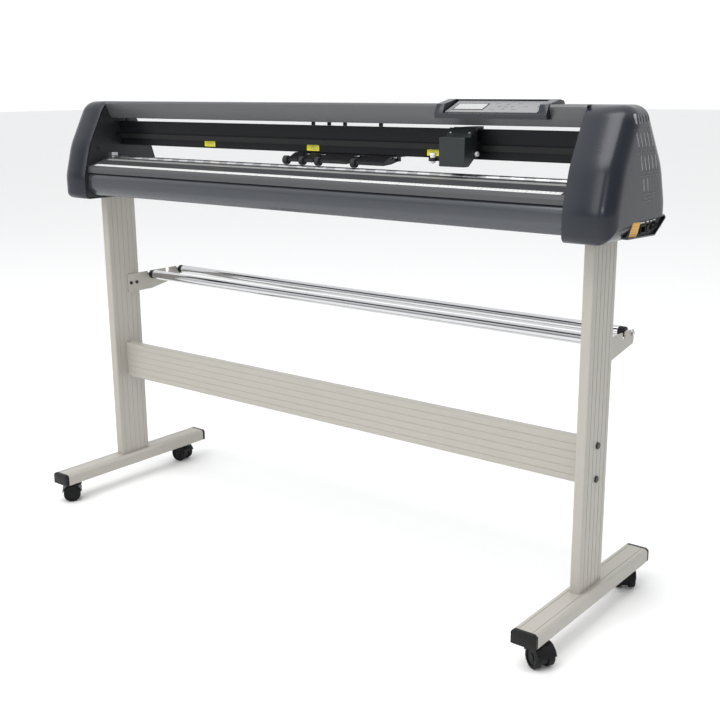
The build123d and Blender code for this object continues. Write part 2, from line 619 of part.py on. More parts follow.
def platen():
    """The bed under the sheet, with a trough for the shaft and a sloping front nose."""
    (y0, z0), (y1, z1) = PLATEN_SLOPE
    floor = SHAFT_Z - TROUGH
    back = SHAFT_Y + TROUGH
    side = [(y0, z0), (y1, z1), (-107, 894), (PLATEN_FRONT, 889), (PLATEN_FRONT, PLATEN_LOW),
            (PLATEN_REAR, PLATEN_LOW), (PLATEN_REAR, 893), (40, 906), (back, 913), (back, floor), (y0, floor)]
    bed = prism_x(side, -COVER_IN, COVER_IN)
    ends = (-COVER_IN - 1, COVER_IN + 1)
    w = PLATEN_WALL
    bed -= prism_x([(y0 - w, z0 - w - 1), (y0 - w, PLATEN_LOW + w), (PLATEN_FRONT + w + 1, PLATEN_LOW + w),
                    (PLATEN_FRONT + w + 1, 888), (y1, z1 - w - 1)], *ends)
    bed -= prism_x([(back + w, 913 - w - 1), (40 - 1, 906 - w - 1), (PLATEN_REAR - w, 893 - w),
                    (PLATEN_REAR - w, PLATEN_LOW + w), (back + w, PLATEN_LOW + w)], *ends)
    bed -= strip_form(CUT_STRIP_Y, 0)
    return bed - strip_form(RULER_Y, 0)


def strip_form(span, proud):
    """A thin strip let into the platen's front slope, between two y values."""
    y0, y1 = span
    side = [(y0, platen_height(y0) - STRIP_THICK), (y0, platen_height(y0) + proud),
            (y1, platen_height(y1) + proud), (y1, platen_height(y1) - STRIP_THICK)]
    return prism_x(side, -RULER_LENGTH / 2, RULER_LENGTH / 2)


def front_panel():
    """The curved panel below the platen, with a flange along its top and its bottom."""
    top = PLATEN_LOW
    bulge = PLATEN_FRONT - 2.0
    w = PANEL_WALL
    shape = FilletPolyline((-60, top), (-102, top), (bulge, top - 8), (bulge, PANEL_LOW + 14), (-99, PANEL_LOW),
                           (-40, PANEL_LOW), radius=[4, 20, 26, 8])
    skin = Plane.YZ.offset(-COVER_IN) * make_face(shape + Line((-40, PANEL_LOW), (-60, top)))
    hollow = Plane.YZ.offset(-COVER_IN) * outline(
        [(-59, top - w), (-101, top - w), (bulge + w, top - 10), (bulge + w, PANEL_LOW + 15), (-98, PANEL_LOW + w),
         (-38, PANEL_LOW + w), (-30, 850)])
    return extrude(skin, 2 * COVER_IN) - extrude(hollow, 2 * COVER_IN)


# ---- feed shaft ----------------------------------------------------------------------------------


def shaft_bearings():
    """Blocks that carry the shaft at both ends and at three places along the trough."""
    blocks = []
    for x in BEARING_X:
        end = abs(x) > COVER_IN - 20
        half = END_BEARING / 2 if end else 6.0
        reach = TROUGH - 0.4 if not end else TROUGH
        low = SHAFT_Z - TROUGH
        high = SHAFT_TOP + 8 if end else SHAFT_Z + 2
        body = block((x - half, x + half), (SHAFT_Y - reach, SHAFT_Y + reach), (low, high))
        blocks.append(body - rod(SHAFT_R + RUN, (x - 20, SHAFT_Y, SHAFT_Z), (x + 20, SHAFT_Y, SHAFT_Z)))
    return group(*blocks)


def grit_shaft():
    """The steel feed shaft with its toothed pulley on the right-hand end."""
    shaft = rod(SHAFT_R, (-PLATE_OUT, SHAFT_Y, SHAFT_Z), (FEED_X[1] + 3, SHAFT_Y, SHAFT_Z))
    pulley = flanged_pulley(FEED_PULLEY_R, (FEED_X[0], SHAFT_Y, SHAFT_Z), (FEED_X[1], SHAFT_Y, SHAFT_Z))
    return group(shaft, pulley - rod(SHAFT_R, (0, SHAFT_Y, SHAFT_Z), (COVER_OUT, SHAFT_Y, SHAFT_Z)))


def flanged_pulley(r, start, end):
    """A belt pulley with a thin flange at each end."""
    a, b = Vector(*start), Vector(*end)
    along = (b - a).normalized()
    pulley = rod(r, start, end)
    return pulley + rod(r + 2.5, start, tuple(a + along)) + rod(r + 2.5, tuple(b - along), end)


def feed_motor_pulley():
    at = (SHAFT_Y, SHAFT_Z - FEED_DROP)
    pulley = flanged_pulley(FEED_PULLEY_R / 2, (FEED_X[0], *at), (FEED_X[1], *at))
    return pulley + rod(MOTOR_SHAFT_R, (FEED_X[0], *at), (FEED_MOTOR_X + 20, *at))


def motor(length=MOTOR_LENGTH):
    """A square stepping motor standing on its back, its mounting face at the top."""
    half = MOTOR_SIDE / 2
    body = block((-half, half), (-half, half), (-length, 0))
    body = chamfer(body.edges().filter_by(Axis.Z), 4)
    body += rod(11, (0, 0, -1), (0, 0, 2))
    return body - rod(MOTOR_SHAFT_R + RUN, (0, 0, -24), (0, 0, 3))


def feed_motor():
    return Pos(FEED_MOTOR_X, SHAFT_Y, SHAFT_Z - FEED_DROP) * Rot(0, -90, 0) * motor()


def carriage_motor():
    return Pos(PULLEY_X, PULLEY_Y, SHELF_Z) * motor()


def drive_pulley():
    low, high = BELT_LOW - 2, BELT_LOW + BELT_WIDTH + 2
    pulley = flanged_pulley(PULLEY_R, (PULLEY_X, PULLEY_Y, low), (PULLEY_X, PULLEY_Y, high))
    return pulley + rod(MOTOR_SHAFT_R, (PULLEY_X, PULLEY_Y, SHELF_Z - 20), (PULLEY_X, PULLEY_Y, high))


def idler_pulley():
    low, high = BELT_LOW - 2, BELT_LOW + BELT_WIDTH + 2
    pulley = flanged_pulley(PULLEY_R, (-PULLEY_X, PULLEY_Y, low), (-PULLEY_X, PULLEY_Y, high))
    return pulley - rod(MOTOR_SHAFT_R + RUN, (-PULLEY_X, PULLEY_Y, low - 1), (-PULLEY_X, PULLEY_Y, high + 1))


def belt_face(place, far, r_near, r_far):
    """The flat ring of a belt around two wheels, the second one at a distance along the plane's x."""
    def around(extra):
        ends = Circle(r_near + extra).edges() + (Pos(far, 0) * Circle(r_far + extra)).edges()
        return make_hull(ends)
    return place * (around(GAP + BELT_THICK) - around(GAP))


def timing_belts():
    """The long carriage belt behind the rail and the short feed belt in the right cover."""
    level = Plane((-PULLEY_X, PULLEY_Y, BELT_LOW), x_dir=(1, 0, 0), z_dir=(0, 0, 1))
    long_belt = extrude(belt_face(level, 2 * PULLEY_X, PULLEY_R, PULLEY_R), BELT_WIDTH)
    upright = Plane((FEED_X[0] + 1.5, SHAFT_Y, SHAFT_Z), x_dir=(0, 0, -1), z_dir=(1, 0, 0))
    short_belt = extrude(belt_face(upright, FEED_DROP, FEED_PULLEY_R, FEED_PULLEY_R / 2), 9)
    return group(long_belt, short_belt)


# ---- carriage ------------------------------------------------------------------------------------


def carriage_cover():
    """The folded cover over the tool head, open at the back and on the left for the tool arm."""
    x = (CARRIAGE_X, CARRIAGE_X + CARRIAGE_WIDTH)
    cover = prism_x(CARRIAGE_SIDE, *x)
    cover -= prism_x(CARRIAGE_INSIDE, x[0] + COVER_SHEET, x[1] - COVER_SHEET)
    return cover - block((x[0] - 1, x[0] + ARM_REACH + 1), (ARM_BODY_Y[0] + 1, ARM_BODY_Y[1] + 1),
                         (CARRIAGE_SIDE[0][1] - 1, ARM_BODY_Z[1] + 1))


def carriage_plate():
    """The running block on the guide, its mounting plate, and the strap over the rail to the belt."""
    low, high = GUIDE_LOW, GUIDE_LOW + GUIDE_HIGH
    face = RAIL_FRONT - GAP
    runner = block(BLOCK_X, (PLATE_FRONT, face), (low - 7, high + 7))
    g = GAP
    back, front = RAIL_FRONT, RAIL_FRONT - GUIDE_PROUD
    waist = 1.6
    slot = [(back, low + waist - g), (back - 3 + g, low + waist - g), (back - 4.5 + g, low - g), (front - g, low - g),
            (front - g, high + g), (back - 4.5 + g, high + g), (back - 3 + g, high - waist + g),
            (back, high - waist + g)]
    runner -= prism_x(slot, BLOCK_X[0] - 1, BLOCK_X[1] + 1)
    plate = block(BLOCK_X, (PLATE_FRONT, PLATE_FRONT + 3), (955, ARM_Z[1]))
    strap_x = (BLOCK_X[0] + 12, BLOCK_X[0] + 34)
    strap = block(strap_x, (PLATE_FRONT, STRAP_BACK), ARM_Z)
    strap += block(strap_x, (STRAP_BACK - 3, STRAP_BACK), (BELT_LOW - 4, ARM_Z[1]))
    belt_y = PULLEY_Y - PULLEY_R - GAP - BELT_THICK
    jaw = block(strap_x, (belt_y - 1.6, STRAP_BACK), (BELT_LOW - 4, BELT_LOW + BELT_WIDTH + 2))
    jaw -= block((strap_x[0] - 1, strap_x[1] + 1), (belt_y - GAP, belt_y + BELT_THICK + GAP),
                 (BELT_LOW - GAP, BELT_LOW + BELT_WIDTH + 3))
    return runner + plate + strap + jaw


def tool_arm():
    """The lifting arm with the ring that clamps the blade holder."""
    y1 = ARM_BODY_Y[1]
    upright = (CARRIAGE_X + ARM_REACH - 12, CARRIAGE_X + ARM_REACH)
    arm = block((TOOL_X, upright[1]), (y1 - 8, y1), ARM_BODY_Z)
    arm += rod(RING_R, (TOOL_X, TOOL_Y, ARM_BODY_Z[0]), (TOOL_X, TOOL_Y, ARM_BODY_Z[1]))
    arm -= rod(HOLDER_R + RUN, (TOOL_X, TOOL_Y, 900), (TOOL_X, TOOL_Y, 1000))
    arm += block(upright, (y1 - 8, y1), (ARM_BODY_Z[0], ARM_TOP))
    return arm + block(upright, (y1 - 8, PLATE_FRONT - GAP), (ARM_TOP - 14, ARM_TOP))


def blade_holder():
    """The knurled holder with its tapered nose and blade tip."""
    x, y = TOOL_X, TOOL_Y
    low, high = HOLDER_Z
    holder = rod(HOLDER_R, (x, y, low), (x, y, high)) + rod(HOLDER_R + HOLDER_COLLAR, (x, y, high), (x, y, high + 3))
    nose = Pos(x, y, low - 1.5) * Cone(2.0, HOLDER_R, 3)
    return holder + nose + rod(0.6, (x, y, HOLDER_TIP), (x, y, low))


# ---- pinch rollers -------------------------------------------------------------------------------


def pinch_mount(name):
    """The slider that hangs under the rail and hooks up behind it, with its release lever."""
    x0, width = PINCH_UNITS[name]
    x = (x0, x0 + width)
    mount = block(x, (-4, LEVER_Y[1]), PINCH_PLATE)
    mount += block(x, (RAIL_BACK + GAP, LEVER_Y[1]), (PINCH_PLATE[0], MOUNT_TOP))
    mount += block((x0, x0 + 9), LEVER_Y, (MOUNT_TOP - 1, RAIL_TOP + 5))
    for ear in ((x0 + 0.0, x0 + 4.0), (x0 + width - 4, x0 + width)):
        mount += block(ear, (PIVOT_Y - 5, PIVOT_Y + 5), (PIVOT_Z - 5, PINCH_PLATE[1]))
    return mount - rod(PIVOT_R + RUN, (x0 - 1, PIVOT_Y, PIVOT_Z), (x0 + width + 1, PIVOT_Y, PIVOT_Z))


def pinch_arm(name):
    """The swinging arm: its pivot pin at the back and the roller's axle at the front left."""
    x0, width = PINCH_UNITS[name]
    arm_x = (x0 + 4 + GAP, x0 + width - 4 - GAP)
    side = [(PIVOT_Y + 4, PIVOT_Z - 4), (PIVOT_Y + 4, PIVOT_Z + 1.5), (PIVOT_Y - 4, PIVOT_Z + 2.5), (-5.5, 939.8), (-5.5, 945.5),
            (-10, 945.5),
            (SHAFT_Y - 4, PINCH_Z + 4), (SHAFT_Y - 5, PINCH_Z - 3), (-6, 929)]
    arm = prism_x(side, *arm_x)
    arm += rod(PIVOT_R, (x0 - 0.5, PIVOT_Y, PIVOT_Z), (x0 + width + 0.5, PIVOT_Y, PIVOT_Z))
    return arm + rod(2.0, (x0 - PINCH_LENGTH, SHAFT_Y, PINCH_Z), (arm_x[0] + 2, SHAFT_Y, PINCH_Z))


def pinch_wheel(name):
    """The rubber-tyred pinch roller."""
    x0, _ = PINCH_UNITS[name]
    span = ((x0 - PINCH_LENGTH + 1, SHAFT_Y, PINCH_Z), (x0 + 4 - GAP, SHAFT_Y, PINCH_Z))
    wheel = rod(PINCH_R, *span)
    wheel = fillet(wheel.edges().filter_by(GeomType.CIRCLE), 1.5)
    return wheel - rod(2.0 + RUN, (x0 - 20, SHAFT_Y, PINCH_Z), (x0 + 20, SHAFT_Y, PINCH_Z))


# ---- electrics -----------------------------------------------------------------------------------
def main_board():
    """The control board on its standoffs, with its larger chips and plugs."""
    board = block((BOARD_X, BOARD_X + 1.6), BOARD_Y, BOARD_Z)
    board -= prism_x([(-70, 1040), (-70, 996), (-64, 996), (-40, 1040)], BOARD_X - 1, BOARD_X + 3)
    face = BOARD_X + 1.6
    parts = [block((face, face + 3), (-44, -26), (970, 988)), block((face, face + 10), (-60, -50), (956, 990)),
             block((face, face + 12), (-46, -28), (948, 956))]
    return group(board, *parts)


def power_supply():
    supply = block((PLATE_OUT, PLATE_OUT + 32), (54, 86), (818, 905))
    return fillet(supply.edges().filter_by(Axis.X), 1.5)


def connector_panel():
    """The flat panel behind the console's opening."""
    side = inset(CONSOLE_SIDE, CONSOLE_LIP)
    panel = prism_x(side, *PANEL_X)
    panel -= block((PANEL_X[0] - 1, PANEL_X[1] + 1), INLET_Y, SOCKET_Z)
    mid = sum(SOCKET_Z) / 2
    sy, sz = SWITCH_HALF
    return panel - block((PANEL_X[0] - 1, PANEL_X[1] + 1), (SWITCH_Y - sy - 0.5, SWITCH_Y + sy + 0.5),
                         (mid - sz - 0.8, mid + sz + 0.8))


def panel_sockets():
    """The power inlet and two data sockets."""
    inlet = block((PANEL_X[0] - 12, PANEL_X[1] + 2), INLET_Y, SOCKET_Z)
    well = (SOCKET_Z[0] + 2.5, SOCKET_Z[1] - 2.5)
    inlet -= block((PANEL_X[0] - 8, PANEL_X[1] + 3), (INLET_Y[0] + 2, INLET_Y[1] - 2), well)
    ports = []
    for (y0, y1), (z0, z1) in zip(PORT_Y, ((825, 835), (827, 838))):
        port = block((PANEL_X[1], PANEL_X[1] + 4), (y0, y1), (z0, z1))
        ports.append(port - block((PANEL_X[1] + 1, PANEL_X[1] + 5), (y0 + 1.5, y1 - 1.5), (z0 + 1.5, z1 - 1.5)))
    return group(inlet, *ports)


def power_switch():
    """The rocker of the power switch, pivoted on the panel's face and resting in its off position."""
    mid = sum(SOCKET_Z) / 2
    sy, sz = SWITCH_HALF
    pivot = PANEL_X[1] - 1
    side = [(-4, -sz + 2.2), (3.0, -sz + 0.8), (1.9, 0), (3.0, sz - 0.8), (-4, sz - 2.2)]
    rocker = prism_y(side, -sy, sy)
    return Pos(pivot, SWITCH_Y, mid) * Rot(0, SWITCH_TILT, 0) * rocker


def build():
    """Every node's shape by name."""
    nodes = {"feet": feet(), "foot_end_caps": foot_end_caps(), "posts": posts(), "crossbar": crossbar(),
             "stand_bolts": stand_bolts(), "roll_brackets": roll_brackets()}
    for name, y in BAR_Y.items():
        nodes[name] = roll_bar(y)
    for corner in CASTER_HEADING:
        nodes[corner + "_caster_hood"] = caster_hood(corner)
        nodes[corner + "_caster_wheels"] = caster_wheels(corner)
    nodes["side_plates"] = group(side_plate("left"), side_plate("right"))
    for side in SIDES:
        nodes[side + "_end_cover"] = end_cover(side)
    nodes |= {"post_mount_blocks": post_mount_blocks(), "cover_screws": cover_screws(), "top_beam": top_beam(),
              "keypad_bezel": keypad_bezel(), "keypad_plate": keypad_plate(), "display_window": display_window(),
              "y_rail": y_rail(), "guide_rail": guide_rail(), "timing_belts": timing_belts(),
              "carriage_motor": carriage_motor(), "platen": platen(),
              "cutting_strip": strip_form(CUT_STRIP_Y, 0), "ruler_strip": strip_form(RULER_Y, 0),
              "front_panel": front_panel(), "shaft_bearings": shaft_bearings(), "grit_shaft": grit_shaft(),
              "feed_motor": feed_motor(), "feed_motor_pulley": feed_motor_pulley(), "drive_pulley": drive_pulley(),
              "idler_pulley": idler_pulley(), "carriage_plate": carriage_plate(), "carriage_cover": carriage_cover(),
              "tool_arm": tool_arm(), "blade_holder": blade_holder(), "main_board": main_board(),
              "power_supply": power_supply(), "connector_panel": connector_panel(), "panel_sockets": panel_sockets(),
              "power_switch": power_switch()}
    for name in PINCH_UNITS:
        nodes[name + "_mount"] = pinch_mount(name)
        nodes[name + "_arm"] = pinch_arm(name)
        nodes[name + "_wheel"] = pinch_wheel(name)
    return nodes


os.makedirs("parts", exist_ok=True)
for node, shape in build().items():
    export_step(shape, f"parts/{node}.step")
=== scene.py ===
"""The looks of a floor-standing vinyl cutter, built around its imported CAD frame. Metres, +Z up."""

import json
import logging
import math
from dataclasses import dataclass
from enum import Enum
from typing import Any, Iterable, Sequence

import bmesh
import bpy
from mathutils import Matrix, Vector

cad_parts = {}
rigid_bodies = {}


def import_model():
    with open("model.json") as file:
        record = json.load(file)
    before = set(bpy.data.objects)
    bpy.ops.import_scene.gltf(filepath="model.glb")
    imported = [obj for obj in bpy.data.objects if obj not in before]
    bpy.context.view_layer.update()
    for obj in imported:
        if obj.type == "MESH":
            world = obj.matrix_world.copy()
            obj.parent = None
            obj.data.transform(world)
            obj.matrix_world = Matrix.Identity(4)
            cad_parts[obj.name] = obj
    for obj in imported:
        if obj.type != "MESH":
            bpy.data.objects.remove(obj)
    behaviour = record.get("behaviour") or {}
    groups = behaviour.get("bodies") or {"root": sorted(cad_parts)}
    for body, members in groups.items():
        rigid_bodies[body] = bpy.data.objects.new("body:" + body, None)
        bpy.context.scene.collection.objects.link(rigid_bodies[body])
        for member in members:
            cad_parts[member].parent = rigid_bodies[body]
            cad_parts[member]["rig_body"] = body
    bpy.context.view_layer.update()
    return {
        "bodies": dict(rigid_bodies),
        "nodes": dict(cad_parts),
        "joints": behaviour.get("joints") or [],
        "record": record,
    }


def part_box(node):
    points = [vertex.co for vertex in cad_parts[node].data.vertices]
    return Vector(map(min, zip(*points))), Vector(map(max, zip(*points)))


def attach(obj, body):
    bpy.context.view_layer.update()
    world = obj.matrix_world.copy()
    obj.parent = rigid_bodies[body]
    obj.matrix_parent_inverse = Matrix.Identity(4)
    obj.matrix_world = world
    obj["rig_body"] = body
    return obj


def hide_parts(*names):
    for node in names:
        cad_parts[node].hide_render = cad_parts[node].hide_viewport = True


LOG = logging.getLogger("vinyl_cutter")
MM = 0.001
Point2 = tuple[float, float]
Point3 = tuple[float, float, float]


class Axis(Enum):
    """The direction that a section runs along, with the two axes of its outline."""

    X = ("y", "z")
    Y = ("x", "z")
    Z = ("x", "y")

    def place(self, u: float, v: float, along: float) -> Point3:
        """The point at (u, v) of the outline, some way along the axis.

        Args:
            u: the first outline coordinate.
            v: the second outline coordinate.
            along: the distance along the axis.

        Returns:
            The point in space.
        """
        if self is Axis.X:
            return (along, u, v)
        if self is Axis.Y:
            return (u, along, v)
        return (u, v, along)


# ---- shader graphs -------------------------------------------------------------------------------
class Sock:
    """A shader socket that can be used in sums."""

    def __init__(self, graph: "Graph", socket: bpy.types.NodeSocket) -> None:
        """Wrap one output socket of a graph."""
        self.graph = graph
        self.socket = socket

    def _sum(self, kind: str, first: Any, second: Any) -> "Sock":
        """One Math node on two values."""
        return self.graph.node("ShaderNodeMath", {"operation": kind}, {0: first, 1: second})

    def __add__(self, other: Any) -> "Sock":
        """This plus another."""
        return self._sum("ADD", self, other)

    def __radd__(self, other: Any) -> "Sock":
        """Another plus this."""
        return self._sum("ADD", other, self)

    def __mul__(self, other: Any) -> "Sock":
        """This times another."""
        return self._sum("MULTIPLY", self, other)

    def __rmul__(self, other: Any) -> "Sock":
        """Another times this."""
        return self._sum("MULTIPLY", other, self)

    def __mod__(self, other: Any) -> "Sock":
        """This wrapped to the range of another, never negative."""
        return self._sum("FLOORED_MODULO", self, other)

    def __lt__(self, other: Any) -> "Sock":
        """1 where this is less than another, else 0."""
        return self._sum("LESS_THAN", self, other)

    def __gt__(self, other: Any) -> "Sock":
        """1 where this is more than another, else 0."""
        return self._sum("GREATER_THAN", self, other)


class Graph:
    """A material's node tree, with one method that adds any node."""

    def __init__(self, name: str) -> None:
        """Start an empty material.

        Args:
            name: the material's name.
        """
        self.material = bpy.data.materials.new(name)
        self.material.use_nodes = True
        self.tree = self.material.node_tree
        self.tree.nodes.clear()

    def node(self, kind: str, settings: dict[str, Any], inputs: dict[Any, Any], output: Any = 0) -> Sock:
        """Add a node.

        Args:
            kind: the node's type.
            settings: its properties, or a colour ramp's stops under "stops".
            inputs: values or links by socket name or index.
            output: the output socket to hand back.

        Returns:
            The wrapped output socket.
        """
        made = self.tree.nodes.new(kind)
        for key, value in settings.items():
            if key == "stops":
                self._ramp(made.color_ramp, value)
            else:
                setattr(made, key, value)
        for key, value in inputs.items():
            target = made.inputs[key]
            if isinstance(value, Sock):
                self.tree.links.new(value.socket, target)
            else:
                target.default_value = value
        return Sock(self, made.outputs[output])

    @staticmethod
    def _ramp(ramp: bpy.types.ColorRamp, stops: Sequence[tuple[float, float]]) -> None:
        """Set a grey ramp's stops from (position, level) pairs."""
        while len(ramp.elements) < len(stops):
            ramp.elements.new(0.5)
        for element, (position, level) in zip(ramp.elements, stops):
            element.position = position
            element.color = (level, level, level, 1)

    def coordinates(self) -> Sock:
        """The object's own coordinates."""
        return self.node("ShaderNodeTexCoord", {}, {}, "Object")

    def axis(self, name: str) -> Sock:
        """One of the object's coordinates, by its letter."""
        return self.node("ShaderNodeSeparateXYZ", {}, {0: self.coordinates()}, name)

    def noise(self, scale: float, stretch: Point3 = (1, 1, 1), detail: float = 3) -> Sock:
        """A noise from 0 to 1, stretched along chosen axes."""
        placed = self.node("ShaderNodeMapping", {}, {0: self.coordinates(), "Scale": stretch})
        return self.node("ShaderNodeTexNoise", {}, {0: placed, "Scale": scale, "Detail": detail}, 0)

    def mix(self, mask: Any, low: Any, high: Any) -> Sock:
        """One colour where the mask is 0 and another where it is 1."""
        made = {"data_type": "RGBA", "clamp_factor": True}
        return self.node("ShaderNodeMix", made, {0: mask, 6: low, 7: high}, 2)

    def surface(self, inputs: dict[str, Any]) -> bpy.types.Material:
        """Close the graph with a Principled shader.

        Args:
            inputs: values or links by the shader's socket names.

        Returns:
            The finished material.
        """
        shader = self.node("ShaderNodeBsdfPrincipled", {}, inputs)
        self.node_output(shader)
        return self.material

    def node_output(self, shader: Sock) -> None:
        """Link a shader to the material's output."""
        end = self.tree.nodes.new("ShaderNodeOutputMaterial")
        self.tree.links.new(shader.socket, end.inputs["Surface"])


Colour = tuple[float, float, float]


def rgba(colour: Colour, level: float = 1.0) -> tuple[float, float, float, float]:
    """A colour at some share of its brightness, with full alpha."""
    return tuple(min(c * level, 1.0) for c in colour) + (1.0,)


@dataclass(frozen=True)
class Finish:
    """A coat or bare material with a fine grain and soft patches of tone."""

    name: str
    colour: Colour
    roughness: float
    metallic: float = 0.0
    coat: float = 0.0
    patch: float = 0.10
    patch_size: float = 9.0
    grain: float = 900.0
    grain_depth: float = 0.00004
    stretch: Point3 = (1.0, 1.0, 1.0)
    roughness_spread: float = 0.10
    specular: float = 0.5

    def tone(self, graph: Graph) -> Sock:
        """The base colour over the surface.

        Args:
            graph: the node graph to build in.

        Returns:
            The colour socket.
        """
        cloud = graph.noise(self.patch_size, self.stretch)
        return graph.mix(cloud, rgba(self.colour, 1 - self.patch), rgba(self.colour, 1 + self.patch))

    def height(self, graph: Graph) -> Sock:
        """The fine relief, from 0 to 1."""
        return graph.noise(self.grain, self.stretch, 2)

    def material(self) -> bpy.types.Material:
        """The finished node material, made once.

        Returns:
            The material, the same one each time it is asked for.
        """
        name = "finish_" + self.name
        known = bpy.data.materials.get(name)
        if known:
            return known
        graph = Graph(name)
        bump = graph.node("ShaderNodeBump", {}, {"Strength": 0.6, "Distance": self.grain_depth,
                                                 "Height": self.height(graph)})
        smear = graph.noise(self.patch_size * 3, self.stretch)
        rough = smear * (2 * self.roughness_spread) + (self.roughness - self.roughness_spread)
        return graph.surface({"Base Color": self.tone(graph), "Roughness": rough, "Metallic": self.metallic,
                              "Coat Weight": self.coat, "Coat Roughness": 0.12,
                              "Specular IOR Level": self.specular, "Normal": bump})


@dataclass(frozen=True)
class ScuffedFinish(Finish):
    """A finish whose exposed patches are a little lighter, as on handled metal."""

    scuff: Colour = (0.5, 0.5, 0.5)
    scuff_share: float = 0.06

    def tone(self, graph: Graph) -> Sock:
        """The base colour with faint scuffs.

        Args:
            graph: the node graph to build in.

        Returns:
            The colour socket.
        """
        base = Finish.tone(self, graph)
        marks = graph.node("ShaderNodeValToRGB", {"stops": [(0.62, 0.0), (0.80, 1.0)]},
                           {0: graph.noise(160, (1, 1, 1), 6)})
        return graph.mix(marks * self.scuff_share, base, rgba(self.scuff))


@dataclass(frozen=True)
class RuledFinish(Finish):
    """A white strip with a printed scale of plain ticks."""

    pitch: float = 10 * MM
    tick: float = 0.9 * MM
    ink: Colour = (0.12, 0.12, 0.13)
    tick_top: float = 0.0

    def tone(self, graph: Graph) -> Sock:
        """White, with a dark tick at each step and a longer one at each tenth.

        Args:
            graph: the node graph to build in.

        Returns:
            The colour socket.
        """
        x, y = graph.axis("X"), graph.axis("Y")
        short = ((x + 5.0) % self.pitch < self.tick) * (y > self.tick_top)
        long = (x + 5.0) % (10 * self.pitch) < self.tick * 1.6
        marks = self.node_max(graph, short, long)
        return graph.mix(marks * 0.85, Finish.tone(self, graph), rgba(self.ink))

    @staticmethod
    def node_max(graph: Graph, first: Sock, second: Sock) -> Sock:
        """The larger of two masks."""
        return graph.node("ShaderNodeMath", {"operation": "MAXIMUM"}, {0: first, 1: second})


@dataclass(frozen=True)
class Grit(Finish):
    """A steel shaft with bands of rough grit at even steps."""

    band: float = 26 * MM
    pitch: float = 56 * MM

    def tone(self, graph: Graph) -> Sock:
        """Bright steel with duller bands.

        Args:
            graph: the node graph to build in.

        Returns:
            The colour socket.
        """
        bands = graph.axis("X") % self.pitch < self.band
        speckle = graph.noise(2600, (1, 1, 1), 2)
        dull = graph.mix(speckle, rgba(self.colour, 0.45), rgba(self.colour, 0.85))
        return graph.mix(bands, Finish.tone(self, graph), dull)


@dataclass(frozen=True)
class Window(Finish):
    """A grey display behind a clear cover, with two rows of plain cells."""

    def tone(self, graph: Graph) -> Sock:
        """Grey-green with faint darker cells.

        Args:
            graph: the node graph to build in.

        Returns:
            The colour socket.
        """
        cells = (graph.axis("X") % (3.6 * MM) < 2.8 * MM) * (graph.noise(700, (1, 1, 1), 0) > 0.52)
        return graph.mix(cells * 0.18, Finish.tone(self, graph), rgba((0.05, 0.06, 0.05)))


